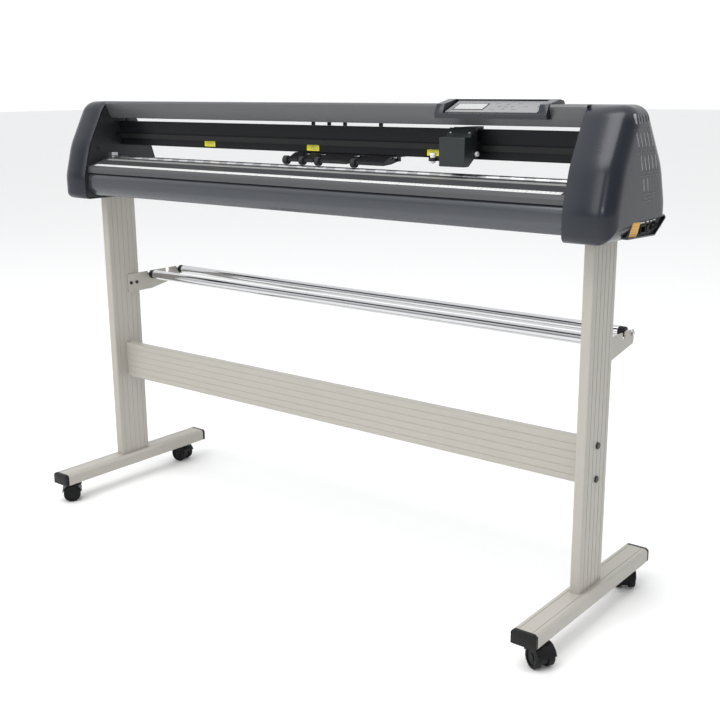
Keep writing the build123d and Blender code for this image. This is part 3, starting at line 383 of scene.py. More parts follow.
class Palette:
    """Every finish on the machine."""

    STAND = Finish("stand_coat", (0.400, 0.380, 0.340), 0.42, patch=0.03, patch_size=4, grain=1400,
                   grain_depth=0.00003, coat=0.15)
    COVER = Finish("cover_plastic", (0.009, 0.012, 0.019), 0.27, patch=0.06, patch_size=6, grain=2200,
                   grain_depth=0.000012, coat=0.10, roughness_spread=0.02, specular=0.45)
    # Pale grey painted highlight, for light caught on the walls of the vent slots and the rims of the dot holes.
    PAINTED_VENT_HIGHLIGHT = Finish("vent_edge", (0.36, 0.37, 0.39), 0.45, patch=0.06)
    BEAM = Finish("beam_coat", (0.105, 0.108, 0.112), 0.34, metallic=0.35, patch=0.08, patch_size=5,
                  stretch=(0.08, 1, 1), grain=1500, grain_depth=0.00002, roughness_spread=0.04)
    PANEL = Finish("panel_coat", (0.075, 0.080, 0.090), 0.24, metallic=0.55, patch=0.06, patch_size=5,
                   stretch=(0.06, 1, 1), grain=1500, grain_depth=0.00002, coat=0.2, roughness_spread=0.04)
    BED = Finish("bed_coat", (0.075, 0.078, 0.082), 0.36, metallic=0.3, patch=0.10, patch_size=40,
                 stretch=(0.02, 1, 1), grain=1200, grain_depth=0.00003)
    RAIL = Finish("black_anodised", (0.014, 0.0145, 0.016), 0.32, metallic=0.5, patch=0.15, patch_size=24,
                  stretch=(0.02, 1, 1), grain=1500, grain_depth=0.00002, specular=0.3)
    GUIDE = Finish("guide_steel", (0.020, 0.020, 0.021), 0.30, metallic=0.6, patch=0.15, stretch=(0.02, 1, 1))
    PLATE = ScuffedFinish("plate_coat", (0.020, 0.022, 0.025), 0.45, metallic=0.2)
    BLACK = ScuffedFinish("black_moulding", (0.008, 0.008, 0.009), 0.45, grain=1600, scuff_share=0.03,
                          specular=0.2)
    BLACK_METAL = ScuffedFinish("black_metal", (0.015, 0.015, 0.017), 0.38, metallic=0.3, scuff_share=0.08)
    CARRIAGE = ScuffedFinish("carriage_coat", (0.022, 0.028, 0.028), 0.34, metallic=0.25, patch=0.08,
                             grain=1600, scuff_share=0.03)
    CHROME = Finish("chrome", (0.60, 0.60, 0.61), 0.09, metallic=1.0, patch=0.10, patch_size=30,
                    stretch=(0.03, 1, 1), grain_depth=0.000004, roughness_spread=0.03)
    ZINC = ScuffedFinish("zinc", (0.55, 0.55, 0.56), 0.30, metallic=1.0)
    STEEL = Finish("steel", (0.50, 0.50, 0.51), 0.28, metallic=1.0, grain=1200)
    SHAFT = Grit("grit_steel", (0.66, 0.66, 0.67), 0.30, metallic=1.0)
    RUBBER = Finish("rubber", (0.022, 0.022, 0.022), 0.75, patch=0.15, grain=1500, grain_depth=0.0001)
    TREAD = Finish("caster_tread", (0.009, 0.009, 0.010), 0.60, patch=0.15, grain=900, grain_depth=0.00008,
                   specular=0.2)
    RULER = RuledFinish("ruler_print", (0.78, 0.78, 0.77), 0.40, patch=0.02, tick_top=-96 * MM)
    PTFE = Finish("cutting_strip", (0.30, 0.30, 0.29), 0.50, patch=0.06)
    ALUMINIUM = Finish("aluminium", (0.62, 0.62, 0.63), 0.34, metallic=1.0, grain=1400)
    KEYPAD = Finish("keypad_film", (0.27, 0.27, 0.275), 0.38, patch=0.03, metallic=0.25, grain=2600)
    KEY_INK = Finish("key_ink", (0.16, 0.16, 0.17), 0.45, patch=0.05)
    WINDOW = Window("display_glass", (0.42, 0.44, 0.43), 0.16, coat=0.6, patch=0.03)
    WHITE = Finish("white_moulding", (0.80, 0.80, 0.79), 0.30, patch=0.03)
    YELLOW = Finish("yellow_label", (0.88, 0.80, 0.01), 0.42, patch=0.05, patch_size=60)
    AMBER = Finish("amber_label", (0.80, 0.40, 0.02), 0.42, patch=0.10, patch_size=60)
    LABEL_INK = Finish("label_ink", (0.24, 0.24, 0.25), 0.50, patch=0.1)
    SCREW = ScuffedFinish("dark_screw", (0.020, 0.020, 0.021), 0.36, metallic=0.6, scuff_share=0.10)
    BOARD = Finish("board_lacquer", (0.010, 0.075, 0.030), 0.30, patch=0.25, patch_size=200)
    FLOOR = Finish("studio_floor", (0.96, 0.96, 0.955), 0.80, patch=0.01, patch_size=1, grain_depth=0.0)


# ---- outlines ------------------------------------------------------------------------------------
def inset(points: Sequence[Point2], d: float) -> list[Point2]:
    """A convex anticlockwise polygon moved in by d on every side.

    Args:
        points: the corners in order.
        d: how far to move in.

    Returns:
        The moved corners.
    """
    sides = []
    for (ax, ay), (bx, by) in zip(points, [*points[1:], points[0]]):
        length = math.hypot(bx - ax, by - ay)
        nx, ny = -(by - ay) / length, (bx - ax) / length
        sides.append((nx, ny, nx * ax + ny * ay + d))
    moved = []
    for (a1, b1, c1), (a2, b2, c2) in zip([sides[-1], *sides[:-1]], sides):
        det = a1 * b2 - a2 * b1
        moved.append(((c1 * b2 - c2 * b1) / det, (a1 * c2 - a2 * c1) / det))
    return moved


def rounded(points: Sequence[Point2], radii: Sequence[float] | float, steps: int = 6) -> list[Point2]:
    """A closed polygon with each corner replaced by an arc.

    Args:
        points: the corners in order.
        radii: one radius for each corner, or one for all.
        steps: segments in each arc.

    Returns:
        The points of the smooth outline.
    """
    if isinstance(radii, (int, float)):
        radii = [radii] * len(points)
    made: list[Point2] = []
    for i, (corner, r) in enumerate(zip(points, radii)):
        here = Vector(corner)
        back = Vector(points[i - 1]) - here
        ahead = Vector(points[(i + 1) % len(points)]) - here
        u, v = back.normalized(), ahead.normalized()
        angle = u.angle(v)
        if r <= 0 or angle > math.pi - 1e-3:
            made.append(tuple(here))
            continue
        reach = min(r / math.tan(angle / 2), back.length * 0.5, ahead.length * 0.5)
        r = reach * math.tan(angle / 2)
        centre = here + (u + v).normalized() * (r / math.sin(angle / 2))
        a, b = here + u * reach - centre, here + v * reach - centre
        turn = a.angle_signed(b)
        for k in range(steps + 1):
            t = -turn * k / steps
            made.append((centre.x + a.x * math.cos(t) - a.y * math.sin(t),
                         centre.y + a.x * math.sin(t) + a.y * math.cos(t)))
    return made


def scaled(points: Iterable[Sequence[float]], k: float = MM) -> list[tuple[float, ...]]:
    """Points in millimetres turned into metres."""
    return [tuple(c * k for c in p) for p in points]


# ---- meshes --------------------------------------------------------------------------------------
def to_object(name: str, mesh: bmesh.types.BMesh, sharp: float = 32) -> bpy.types.Object:
    """Turn a bmesh into a smooth-shaded object with outward faces.

    Args:
        name: the object's name.
        mesh: the bmesh, which is freed.
        sharp: edges above this angle in degrees stay sharp.

    Returns:
        The linked object, at the origin.
    """
    bmesh.ops.remove_doubles(mesh, verts=mesh.verts, dist=1e-6)
    bmesh.ops.recalc_face_normals(mesh, faces=mesh.faces)
    data = bpy.data.meshes.new(name)
    mesh.to_mesh(data)
    mesh.free()
    data.shade_smooth()
    data.set_sharp_from_angle(angle=math.radians(sharp))
    made = bpy.data.objects.new(name, data)
    bpy.context.scene.collection.objects.link(made)
    return made


def add_rings(mesh: bmesh.types.BMesh, rings: Sequence[Sequence[Point3]], caps: bool = True,
              closed: bool = False) -> list[bmesh.types.BMFace]:
    """Skin a row of rings that all have the same number of points.

    Args:
        mesh: where the faces go.
        rings: the rings in order.
        caps: whether the first and last rings are filled.
        closed: whether the last ring joins the first.

    Returns:
        The cap faces.
    """
    rows = [[mesh.verts.new(p) for p in ring] for ring in rings]
    pairs = list(zip(rows, rows[1:])) + ([(rows[-1], rows[0])] if closed else [])
    for low, high in pairs:
        for k in range(len(low)):
            n = (k + 1) % len(low)
            mesh.faces.new((low[k], low[n], high[n], high[k]))
    if not caps or closed:
        return []
    return [mesh.faces.new(rows[0][::-1]), mesh.faces.new(rows[-1])]


def add_section(mesh: bmesh.types.BMesh, axis: Axis, outline: Sequence[Point2], start: float, end: float,
                bevel: float = 0.0) -> None:
    """Run an outline along an axis as a closed solid, its end edges eased by a small bevel.

    Args:
        mesh: where the faces go.
        axis: the direction it runs.
        outline: the corners in order.
        start: where it begins.
        end: where it ends.
        bevel: how far the end edges are eased.
    """
    low, high = sorted((start, end))
    levels = [low, high]
    shapes = [outline, outline]
    if bevel:
        small = shrink(outline, bevel)
        levels = [low, low + bevel, high - bevel, high]
        shapes = [small, outline, outline, small]
    add_rings(mesh, [[axis.place(u, v, at) for u, v in shape] for at, shape in zip(levels, shapes)])


def shrink(outline: Sequence[Point2], d: float) -> list[Point2]:
    """An outline moved in by d along its corner normals, for small d.

    Args:
        outline: the corners in order.
        d: how far to move in.

    Returns:
        The moved corners.
    """
    n = len(outline)
    area = sum(outline[i][0] * outline[(i + 1) % n][1] - outline[(i + 1) % n][0] * outline[i][1]
               for i in range(n))
    side = 1 if area > 0 else -1
    made = []
    for i in range(n):
        before = Vector(outline[i]) - Vector(outline[i - 1])
        after = Vector(outline[(i + 1) % n]) - Vector(outline[i])
        along = (before.normalized() + after.normalized())
        if along.length < 1e-6:
            along = after
        normal = Vector((-along.y, along.x)).normalized() * side
        made.append(tuple(Vector(outline[i]) + normal * d))
    return made


def add_block(mesh: bmesh.types.BMesh, low: Point3, high: Point3, bevel: float = 0.0006) -> None:
    """A box with eased edges.

    Args:
        mesh: where the faces go.
        low: the lowest corner.
        high: the highest corner.
        bevel: how far the edges are eased.
    """
    (x0, y0, z0), (x1, y1, z1) = low, high
    r = min(bevel, (x1 - x0) / 3, (y1 - y0) / 3, (z1 - z0) / 3)
    outline = rounded([(x0, y0), (x1, y0), (x1, y1), (x0, y1)], r, 2)
    add_section(mesh, Axis.Z, outline, z0, z1, r * 0.9)


def add_lathe(mesh: bmesh.types.BMesh, profile: Sequence[Point2], origin: Point3, direction: Point3,
              sides: int = 40) -> None:
    """Turn a (radius, distance) profile round a line as a closed solid.

    Args:
        mesh: where the faces go.
        profile: the profile from one end to the other; ends off the axis are capped.
        origin: where distance is zero.
        direction: the line's direction.
        sides: facets round the axis.
    """
    turn = Vector((0, 0, 1)).rotation_difference(Vector(direction))
    rings = []
    for r, h in profile:
        ring = []
        for k in range(sides):
            a = 2 * math.pi * k / sides
            p = Vector(origin) + turn @ Vector((max(r, 1e-5) * math.cos(a), max(r, 1e-5) * math.sin(a), h))
            ring.append(tuple(p))
        rings.append(ring)
    add_rings(mesh, rings)


class Assembly:
    """A sub-assembly: it makes pieces, dresses them and sets them on their bodies."""

    body = "frame"

    def keep(self, piece: bpy.types.Object, finish: Finish, slot: str, replaces: Sequence[str] = (),
             body: str | None = None) -> bpy.types.Object:
        """Dress a piece and set it on its body.

        Args:
            piece: the finished piece at the origin.
            finish: what covers it.
            slot: the record's material slot; not used.
            replaces: CAD nodes that it stands for.
            body: the body that it rides on.

        Returns:
            The same piece.
        """
        piece.data.materials.clear()
        piece.data.materials.append(finish.material())
        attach(piece, body or self.body)
        if replaces:
            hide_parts(*replaces)
        LOG.info("%-28s %6d faces on %s", piece.name, len(piece.data.polygons), body or self.body)
        return piece

    def build(self) -> None:
        """Make every piece of the sub-assembly."""
        raise NotImplementedError


# ---- repeats made by Geometry Nodes --------------------------------------------------------------
class Repeater:
    """Sets small copies of one shape on points, each turned to a direction, as one plain mesh."""

    def __init__(self, name: str) -> None:
        """Build the node tree.

        Args:
            name: the tree's name.
        """
        self.tree = bpy.data.node_groups.new(name, "GeometryNodeTree")
        face = self.tree.interface
        face.new_socket("Points", in_out="INPUT", socket_type="NodeSocketGeometry")
        self.shape = face.new_socket("Shape", in_out="INPUT", socket_type="NodeSocketObject")
        self.size = face.new_socket("Size", in_out="INPUT", socket_type="NodeSocketFloat")
        self.finish = face.new_socket("Finish", in_out="INPUT", socket_type="NodeSocketMaterial")
        face.new_socket("Mesh", in_out="OUTPUT", socket_type="NodeSocketGeometry")
        start, end = self._add("NodeGroupInput"), self._add("NodeGroupOutput")
        shape, turn = self._add("GeometryNodeObjectInfo"), self._add("GeometryNodeInputNamedAttribute")
        turn.data_type = "FLOAT_VECTOR"
        turn.inputs["Name"].default_value = "turn"
        copies, real = self._add("GeometryNodeInstanceOnPoints"), self._add("GeometryNodeRealizeInstances")
        dress = self._add("GeometryNodeSetMaterial")
        link = self.tree.links.new
        link(start.outputs["Points"], copies.inputs["Points"])
        link(start.outputs["Shape"], shape.inputs["Object"])
        link(shape.outputs["Geometry"], copies.inputs["Instance"])
        link(turn.outputs["Attribute"], copies.inputs["Rotation"])
        link(start.outputs["Size"], copies.inputs["Scale"])
        link(copies.outputs["Instances"], real.inputs["Geometry"])
        link(real.outputs["Geometry"], dress.inputs["Geometry"])
        link(start.outputs["Finish"], dress.inputs["Material"])
        link(dress.outputs["Geometry"], end.inputs["Mesh"])

    def _add(self, kind: str) -> bpy.types.Node:
        """One node of the tree."""
        return self.tree.nodes.new(kind)

    def spread(self, name: str, pattern: bpy.types.Object, places: Sequence[tuple[Point3, Point3]],
               finish: Finish, size: float = 1.0) -> bpy.types.Object:
        """Copy a pattern to every place.

        Args:
            name: the new object's name.
            pattern: a small object about the origin, its outward side along +Z. It is removed.
            places: (position, direction) pairs in metres.
            finish: what the copies are made of.
            size: a scale for every copy.

        Returns:
            One plain mesh object at the origin.
        """
        data = bpy.data.meshes.new(name + "_points")
        data.from_pydata([p for p, _ in places], [], [])
        turns = data.attributes.new("turn", "FLOAT_VECTOR", "POINT")
        for k, (_, direction) in enumerate(places):
            turns.data[k].vector = Vector((0, 0, 1)).rotation_difference(Vector(direction)).to_euler()
        carrier = bpy.data.objects.new(name + "_carrier", data)
        bpy.context.scene.collection.objects.link(carrier)
        modifier = carrier.modifiers.new("repeat", "NODES")
        modifier.node_group = self.tree
        modifier[self.shape.identifier] = pattern
        modifier[self.size.identifier] = size
        modifier[self.finish.identifier] = finish.material()
        graph = bpy.context.evaluated_depsgraph_get()
        made = bpy.data.meshes.new_from_object(carrier.evaluated_get(graph))
        piece = bpy.data.objects.new(name, made)
        bpy.context.scene.collection.objects.link(piece)
        carrier.modifiers.remove(modifier)
        for spare in (carrier, pattern):
            bpy.data.objects.remove(spare)
        return piece


@dataclass
class ScrewHead:
    """A low domed head with its cross recess, standing on the face at z = 0."""

    radius: float = 3.5 * MM
    height: float = 1.8 * MM

    def build(self) -> bpy.types.Object:
        """The head about the origin.

        Returns:
            A linked object to be copied.
        """
        mesh = bmesh.new()
        r, h = self.radius, self.height
        profile = [(r, 0), (r, h * 0.45), (r * 0.9, h * 0.8), (r * 0.62, h * 0.98), (r * 0.45, h)]
        hole = [(r * 0.40, h * 0.8), (r * 0.34, h * 0.45)]
        lobes, depth = 4, 0.62
        sides = 24
        rings = []
        for k, (radius, z) in enumerate(profile + hole):
            ring = []
            for s in range(sides):
                a = 2 * math.pi * s / sides
                pull = 1 - depth * (0.5 - 0.5 * math.cos(lobes * a)) if k >= len(profile) - 1 else 1
                ring.append((radius * pull * math.cos(a), radius * pull * math.sin(a), z))
            rings.append(ring)
        add_rings(mesh, rings)
        return to_object("screw_head", mesh)


# ---- sub-assemblies ------------------------------------------------------------------------------
@dataclass
class Stand(Assembly):
    """Moulded caps for the ends of the extruded feet."""

    post_pitch: float = 1424.6
    foot_width: float = 55.8
    foot_low: float = 56.5
    foot_top: float = 86.5
    foot_end: float = 254.0
    cap: float = 9.0

    def build(self) -> None:
        """The four foot caps."""
        half = self.foot_width / 2
        mesh = bmesh.new()
        outline = rounded([(-half, self.foot_low), (half, self.foot_low), (half, self.foot_top - 5),
                           (half - 6, self.foot_top), (6 - half, self.foot_top), (-half, self.foot_top - 5)],
                          [2.5, 2.5, 3.5, 3, 3, 3.5], 5)
        middle_z = (self.foot_low + self.foot_top) / 2
        for side in (-1, 1):
            for end in (-1, 1):
                rings = []
                for reach, pull in ((0, 1), (self.cap * 0.35, 1), (self.cap * 0.80, 0.995),
                                    (self.cap * 0.92, 0.985), (self.cap * 0.98, 0.97), (self.cap, 0.95)):
                    y = end * (self.foot_end - self.cap + reach)
                    rings.append([((side * self.post_pitch / 2 + u * pull) * MM, y * MM,
                                   (middle_z + (v - middle_z) * pull) * MM) for u, v in outline])
                add_rings(mesh, rings)
        self.keep(to_object("foot_caps_moulded", mesh, 40), Palette.BLACK, "black_plastic", ["foot_end_caps"])


@dataclass
class EndCover(Assembly):
    """One hollow end cover with soft corners, slanted vents and a dotted field."""

    side: int = 1
    gap: float = 1380.0
    width: float = 98.0
    wall: float = 3.0
    round_over: float = 34.0
    points: tuple[Point2, ...] = ((-122, 811), (127, 811), (131, 872), (106, 952), (30, 1058), (-42, 1058),
                                  (-100, 950), (-122, 872))
    radii: tuple[float, ...] = (14, 14, 90, 140, 24, 44, 160, 90)
    rows: tuple[tuple[float, float, float, float, float, int], ...] = (
        (1024, 1042, -36, 0, 11.8, 5), (982, 1008.5, -37.4, 15, 15, 5), (939, 966.5, -13.8, 10.5, 15.5, 5),
        (900, 924, 3.7, 5, 17, 2))
    dots: tuple[tuple[float, float, float, int], ...] = (
        (1015.5, -40, 14.4, 5), (978.5, -19, 16.4, 5), (972.5, -18, 16.2, 5), (936, 0, 15.4, 5), (930, 1, 15.4, 5),
        (924, 34, 15.4, 2), (896, 9, 12.4, 5), (889, 15, 12.4, 4), (882, 10, 12.4, 4), (875, 16, 12.4, 3))
    dot_r: float = 2.0
    slot: float = 6.0
    # Width of the painted highlight strip on the rear wall of each vent slot, in mm.
    highlight_width: float = 2.6
    console: tuple[Point2, ...] = ((-54, 817), (72, 812), (121, 842), (113, 849), (-30, 849))
    post: tuple[float, float, float] = (699.6, 725.0, 49.5)

    @property
    def name(self) -> str:
        """Which end it closes."""
        return "right" if self.side > 0 else "left"

    def _ring(self, d: float, x: float) -> list[Point3]:
        """The side outline moved in by d at x, with about even spacing round it.

        Args:
            d: how far the outline is moved in, in mm.
            x: the distance from the middle, in mm.

        Returns:
            The ring in metres.
        """
        radii = [max(r - d, 2) for r in self.radii]
        shape = rounded(inset(self.points, d), radii, 12)
        return [(self.side * x * MM, y * MM, z * MM) for y, z in shape]

    def _shell(self, wall: float, start: float) -> list[list[Point3]]:
        """Rings from the mouth over the soft outer edge.

        Args:
            wall: how far inside the outer face it lies, in mm.
            start: where the first ring stands, in mm.

        Returns:
            The rings from the mouth outwards.
        """
        corner = self.round_over - wall
        middle = self.gap / 2 + self.width - self.round_over
        rings = [self._ring(wall, start), self._ring(wall, middle)]
        for k in range(1, 11):
            a = math.pi / 2 * k / 10
            rings.append(self._ring(wall + corner * (1 - math.cos(a)), middle + corner * math.sin(a)))
        return rings

    def _body(self) -> bpy.types.Object:
        """The hollow shell, its wall closed at the mouth by a small rounded lip.

        Returns:
            The closed shell.
        """
        mesh = bmesh.new()
        mouth = self.gap / 2
        outer = self._shell(0, mouth)
        inner = self._shell(self.wall, mouth)
        outer[0] = self._ring(0.8, mouth)
        outer.insert(1, self._ring(0, mouth + 0.8))
        inner[0] = self._ring(self.wall - 0.8, mouth)
        inner.insert(1, self._ring(self.wall, mouth + 0.8))
        add_rings(mesh, [*reversed(inner), *outer])
        return to_object(self.name + "_cover_shell", mesh, 50)

    def _cutters(self) -> bpy.types.Object:
        """The slanted slots and the hole for the post, as closed prisms.

        Returns:
            One object holding every cutter.
        """
        mesh = bmesh.new()
        out = self.gap / 2 + self.width
        low, high = sorted((self.side * (out - self.round_over) * MM, self.side * (out + 2) * MM))
        for z0, z1, y0, lean, pitch, columns in self.rows:
            for column in range(columns):
                y = y0 + column * pitch
                corners = [(y + lean, z0), (y + lean + self.slot, z0), (y + self.slot, z1), (y, z1)]
                slot = rounded(corners, 1.5, 3)
                add_section(mesh, Axis.X, scaled(slot), low, high)
        for z, y0, pitch, count in self.dots:
            for column in range(count):
                hole = [(y0 + column * pitch + self.dot_r * math.cos(k * math.pi / 6),
                         z + self.dot_r * math.sin(k * math.pi / 6)) for k in range(12)]
                add_section(mesh, Axis.X, scaled(hole), low, high)
        x0, x1, half = self.post
        a, b = sorted((self.side * x0 * MM, self.side * x1 * MM))
        add_block(mesh, (a, -half * MM, 0.80), (b, half * MM, 0.8155), 0)
        if self.side > 0:
            opening = rounded(inset(self.console, 3.0), 3, 4)
            add_section(mesh, Axis.X, scaled(opening), (out - self.round_over - 10) * MM, (out + 2) * MM)
        return to_object(self.name + "_cover_cutters", mesh)

    def build(self) -> None:
        """The shell with its openings cut, its fields of dots with painted shade and highlights, and the painted
        highlights in its vents.
        """
        shell = self._body()
        if self.side > 0:
            shell = join_solid(shell, self._console())
        cut(shell, self._cutters())
        shell.data.set_sharp_from_angle(angle=math.radians(50))
        self.keep(shell, Palette.COVER, "cover_plastic", [self.name + "_end_cover"])
        self._dots()
        self._paint_vent_highlights()

    def _console(self) -> bpy.types.Object:
        """The ledge round the connector panel, with eased edges.

        Returns:
            The ledge as a closed solid.
        """
        out = self.gap / 2 + self.width
        mesh = bmesh.new()
        start = (out - self.round_over - 6) * MM
        add_section(mesh, Axis.X, scaled(rounded(self.console, 3.5, 5)), start, out * MM, 0.9 * MM)
        return to_object("console_ledge", mesh)

    def _surface_x(self, y: float, z: float) -> float:
        """How far out the cover's outer face stands at (y, z), in mm.

        Args:
            y: the place along the depth, in mm.
            z: the height, in mm.

        Returns:
            The distance from the middle, in mm.
        """
        out, r = self.gap / 2 + self.width, self.round_over
        depth = min(self._depth(y, z), r)
        return out - r + math.sqrt(max(r * r - (r - depth) ** 2, 0.0))

    def _depth(self, y: float, z: float) -> float:
        """The distance from (y, z) to the nearest side of the outline.

        Args:
            y: the place along the depth, in mm.
            z: the height, in mm.

        Returns:
            The distance in mm, negative outside the outline.
        """
        corners = list(self.points)
        reach = []
        for (ay, az), (by, bz) in zip(corners, corners[1:] + corners[:1]):
            length = math.hypot(by - ay, bz - az)
            reach.append(((by - ay) * (z - az) - (bz - az) * (y - ay)) / length)
        return min(reach)

    def _dots(self) -> None:
        """Rows of small holes between the vents and a slanting field below them; each hole has a dark plug inside
        as painted shade and a pale crescent on its lower rear rim as a painted highlight.
        """
        places: list[tuple[Point3, Point3]] = []
        for z, y0, pitch, count in self.dots:
            for column in range(count):
                y = y0 + column * pitch
                x = self.side * self._surface_x(y, z)
                places.append(((x * MM, y * MM, z * MM), (self.side, 0, 0)))
        # Painted shade: a dark plug sits a little inside each hole to darken its floor.
        mesh = bmesh.new()
        add_rings(mesh, [[(r * MM * math.cos(k * math.pi / 6), r * MM * math.sin(k * math.pi / 6), h * MM)
                          for k in range(12)] for r, h in ((2.4, -2.6), (2.4, -1.5), (1.6, -1.4),
                                                           (0.6, -1.6))])
        shade_plugs = REPEAT.spread(self.name + "_vent_studs", to_object("stud", mesh), places, Palette.BLACK)
        self.keep(shade_plugs, Palette.BLACK, "black_plastic")
        # Painted highlight: a pale crescent just inside the lower rear rim of each hole.
        glints = bmesh.new()
        for (x, y, z), _ in places:
            arc = [(y + r * MM * math.cos(a), z + r * MM * math.sin(a)) for r, turn in ((1.9, 1), (1.2, -1))
                   for a in [turn * t * math.pi / 10 - 0.6 for t in range(-3, 4)]]
            inner, outer = sorted((x - self.side * 1.6 * MM, x - self.side * 0.1 * MM))
            add_section(glints, Axis.X, arc, inner, outer)
        self.keep(to_object(self.name + "_stud_edges", glints), Palette.PAINTED_VENT_HIGHLIGHT, "cover_plastic")

    def _paint_vent_highlights(self) -> None:
        """A pale slanted strip along the rear wall of each vent, a painted highlight for light caught on that
        wall.
        """
        mesh = bmesh.new()
        for z0, z1, y0, lean, pitch, columns in self.rows:
            for column in range(columns):
                y = y0 + column * pitch
                share = self.highlight_width / self.slot
                a, b = y + lean + self.slot * (1 - share), y + self.slot * (1 - share)
                w = self.slot * share + 0.5
                rings = []
                for depth in (5.0, 0.5):
                    ring = []
                    for yy, zz in ((a, z0 - 0.4), (a + w, z0 - 0.4), (b + w, z1 + 0.4), (b, z1 + 0.4)):
                        x = self.side * (self._surface_x(yy, zz) - depth)
                        ring.append((x * MM, yy * MM, zz * MM))
                    rings.append(ring)
                add_rings(mesh, rings)
        self.keep(to_object(self.name + "_vent_vanes", mesh), Palette.PAINTED_VENT_HIGHLIGHT, "cover_plastic")


def cut(target: bpy.types.Object, tool: bpy.types.Object) -> None:
    """Subtract one closed mesh from another, in place. The tool is removed."""
    boolean(target, tool, "DIFFERENCE")


def join_solid(target: bpy.types.Object, other: bpy.types.Object) -> bpy.types.Object:
    """Unite two closed meshes and hand back the first. The other is removed."""
    boolean(target, other, "UNION")
    return target


def boolean(target: bpy.types.Object, tool: bpy.types.Object, kind: str) -> None:
    """Apply an exact boolean between two objects.

    Args:
        target: the object that keeps the result.
        tool: the other object, removed afterwards.
        kind: the operation.
    """
    modifier = target.modifiers.new("boolean", "BOOLEAN")
    modifier.operation = kind
    modifier.solver = "EXACT"
    modifier.object = tool
    graph = bpy.context.evaluated_depsgraph_get()
    made = bpy.data.meshes.new_from_object(target.evaluated_get(graph))
    target.modifiers.remove(modifier)
    old = target.data
    target.data = made
    bpy.data.meshes.remove(old)
    bpy.data.objects.remove(tool)


@dataclass
class Keypad(Assembly):
    """The printed marks on the sloping keypad."""

    start: Point2 = (-47.5, 1041.0)
    end: Point2 = (6.0, 1062.0)
    x: Point2 = (380.0, 589.0)
    lift: float = 1.5

    def spot(self, x: float, t: float, h: float = 0.0) -> Point3:
        """A point on the keypad: x in mm, t from front to back, h above the film.

        Args:
            x: along the keypad, in mm.
            t: from 0 at the front to 1 at the back.
            h: above the film, in mm.

        Returns:
            The point in metres.
        """
        (y0, z0), (y1, z1) = self.start, self.end
        length = math.hypot(y1 - y0, z1 - z0)
        ny, nz = -(z1 - z0) / length, (y1 - y0) / length
        rise = self.lift + h
        return (x * MM, (y0 + (y1 - y0) * t + ny * rise) * MM, (z0 + (z1 - z0) * t + nz * rise) * MM)

    def patch(self, mesh: bmesh.types.BMesh, outline: Sequence[Point2], thick: float = 0.15) -> None:
        """A thin printed patch from (x, t) corners.

        Args:
            mesh: where the faces go.
            outline: the corners as (x, t).
            thick: how thick it is, in mm.
        """
        low = [self.spot(x, t, 0.0) for x, t in outline]
        high = [self.spot(x, t, thick) for x, t in outline]
        add_rings(mesh, [low, high])

    def build(self) -> None:
        """A cross of arrows, two rows of key outlines and a ready lamp."""
        mesh = bmesh.new()
        depth = math.hypot(self.end[0] - self.start[0], self.end[1] - self.start[1])
        for dx, dt in ((-1, 0), (1, 0), (0, -1), (0, 1)):
            cx, ct = 506 + dx * 15, 0.5 + dt * 11.5 / depth
            tip = (cx + dx * 4.5, ct + dt * 4.5 / depth)
            a = (cx - dx * 2.5 - dt * 4.5, ct - (dt * 2.5 - dx * 4.5) / depth)
            b = (cx - dx * 2.5 + dt * 4.5, ct - (dt * 2.5 + dx * 4.5) / depth)
            self.patch(mesh, [tip, a, b])
        for cx, ct in ((481, 0.24), (481, 0.76), (531, 0.24), (531, 0.76), (551, 0.5), (506, 0.5)):
            w, h = 5.2, 1.3 / depth
            key = [(cx - w, ct - h), (cx + w, ct - h), (cx + w, ct + h), (cx - w, ct + h)]
            self.patch(mesh, rounded(key, 0.01, 1))
        self.keep(to_object("keypad_marks", mesh), Palette.KEY_INK, "black_plastic")
        lamp = bmesh.new()
        at = self.spot(578, 0.5)
        dome = [(1.6 * MM, -0.4 * MM), (1.6 * MM, 0.3 * MM), (1.0 * MM, 0.7 * MM), (0.3 * MM, 0.8 * MM)]
        add_lathe(lamp, dome, at, (0, -0.365, 0.931), 20)
        self.keep(to_object("ready_lamp", lamp), Palette.BLACK, "black_plastic")
        rim = bmesh.new()
        x0, x1 = 392 - 2.2, 460 + 2.2
        t0, t1 = 0.25 - 2.2 / depth, 0.72 + 2.2 / depth
        outer = [(x0, t0), (x1, t0), (x1, t1), (x0, t1)]
        inner = [(x0 + 2.2, 0.25), (x1 - 2.2, 0.25), (x1 - 2.2, 0.72), (x0 + 2.2, 0.72)]
        rings = [[self.spot(x, t, h) for x, t in shape] for shape, h in
                 ((outer, 0), (outer, 0.35), (inner, 0.6), (inner, 0.0))]
        add_rings(rim, rings, closed=True)
        self.keep(to_object("display_rim", rim), Palette.BLACK, "black_plastic")


@dataclass
class RailLabels(Assembly):
    """Plain coloured labels and generic marks on the rail's front."""

    face: float = 4.0
    yellow: tuple[Point2, ...] = ((-370.0, -333.0), (-34.0, 3.0), (302.0, 332.0))
    low: float = 950.5
    high: float = 963.5

    def sticker(self, mesh: bmesh.types.BMesh, x: Point2, z: Point2, proud: float = 0.25) -> None:
        """A thin label with rounded corners."""
        shape = rounded([(x[0], z[0]), (x[1], z[0]), (x[1], z[1]), (x[0], z[1])], 1.2, 3)
        add_section(mesh, Axis.Y, scaled(shape), (self.face - proud) * MM, (self.face + 0.05) * MM)

    def build(self) -> None:
        """Three yellow labels with a ruled line each, and the pale marks."""
        labels, ink = bmesh.new(), bmesh.new()
        for x0, x1 in self.yellow:
            self.sticker(labels, (x0, x1), (self.low, self.high))
            self.sticker(ink, (x0 + 9, x0 + 9.8), (self.low + 1.5, self.high - 1.5), 0.32)
            for k in range(3):
                z = self.low + 3.0 + k * 3.2
                self.sticker(ink, (x0 + 12, x1 - 3 - k * 3), (z, z + 0.9), 0.32)
        self.keep(to_object("rail_labels", labels), Palette.YELLOW, "rail")
        self.keep(to_object("rail_label_lines", ink), Palette.LABEL_INK, "rail")


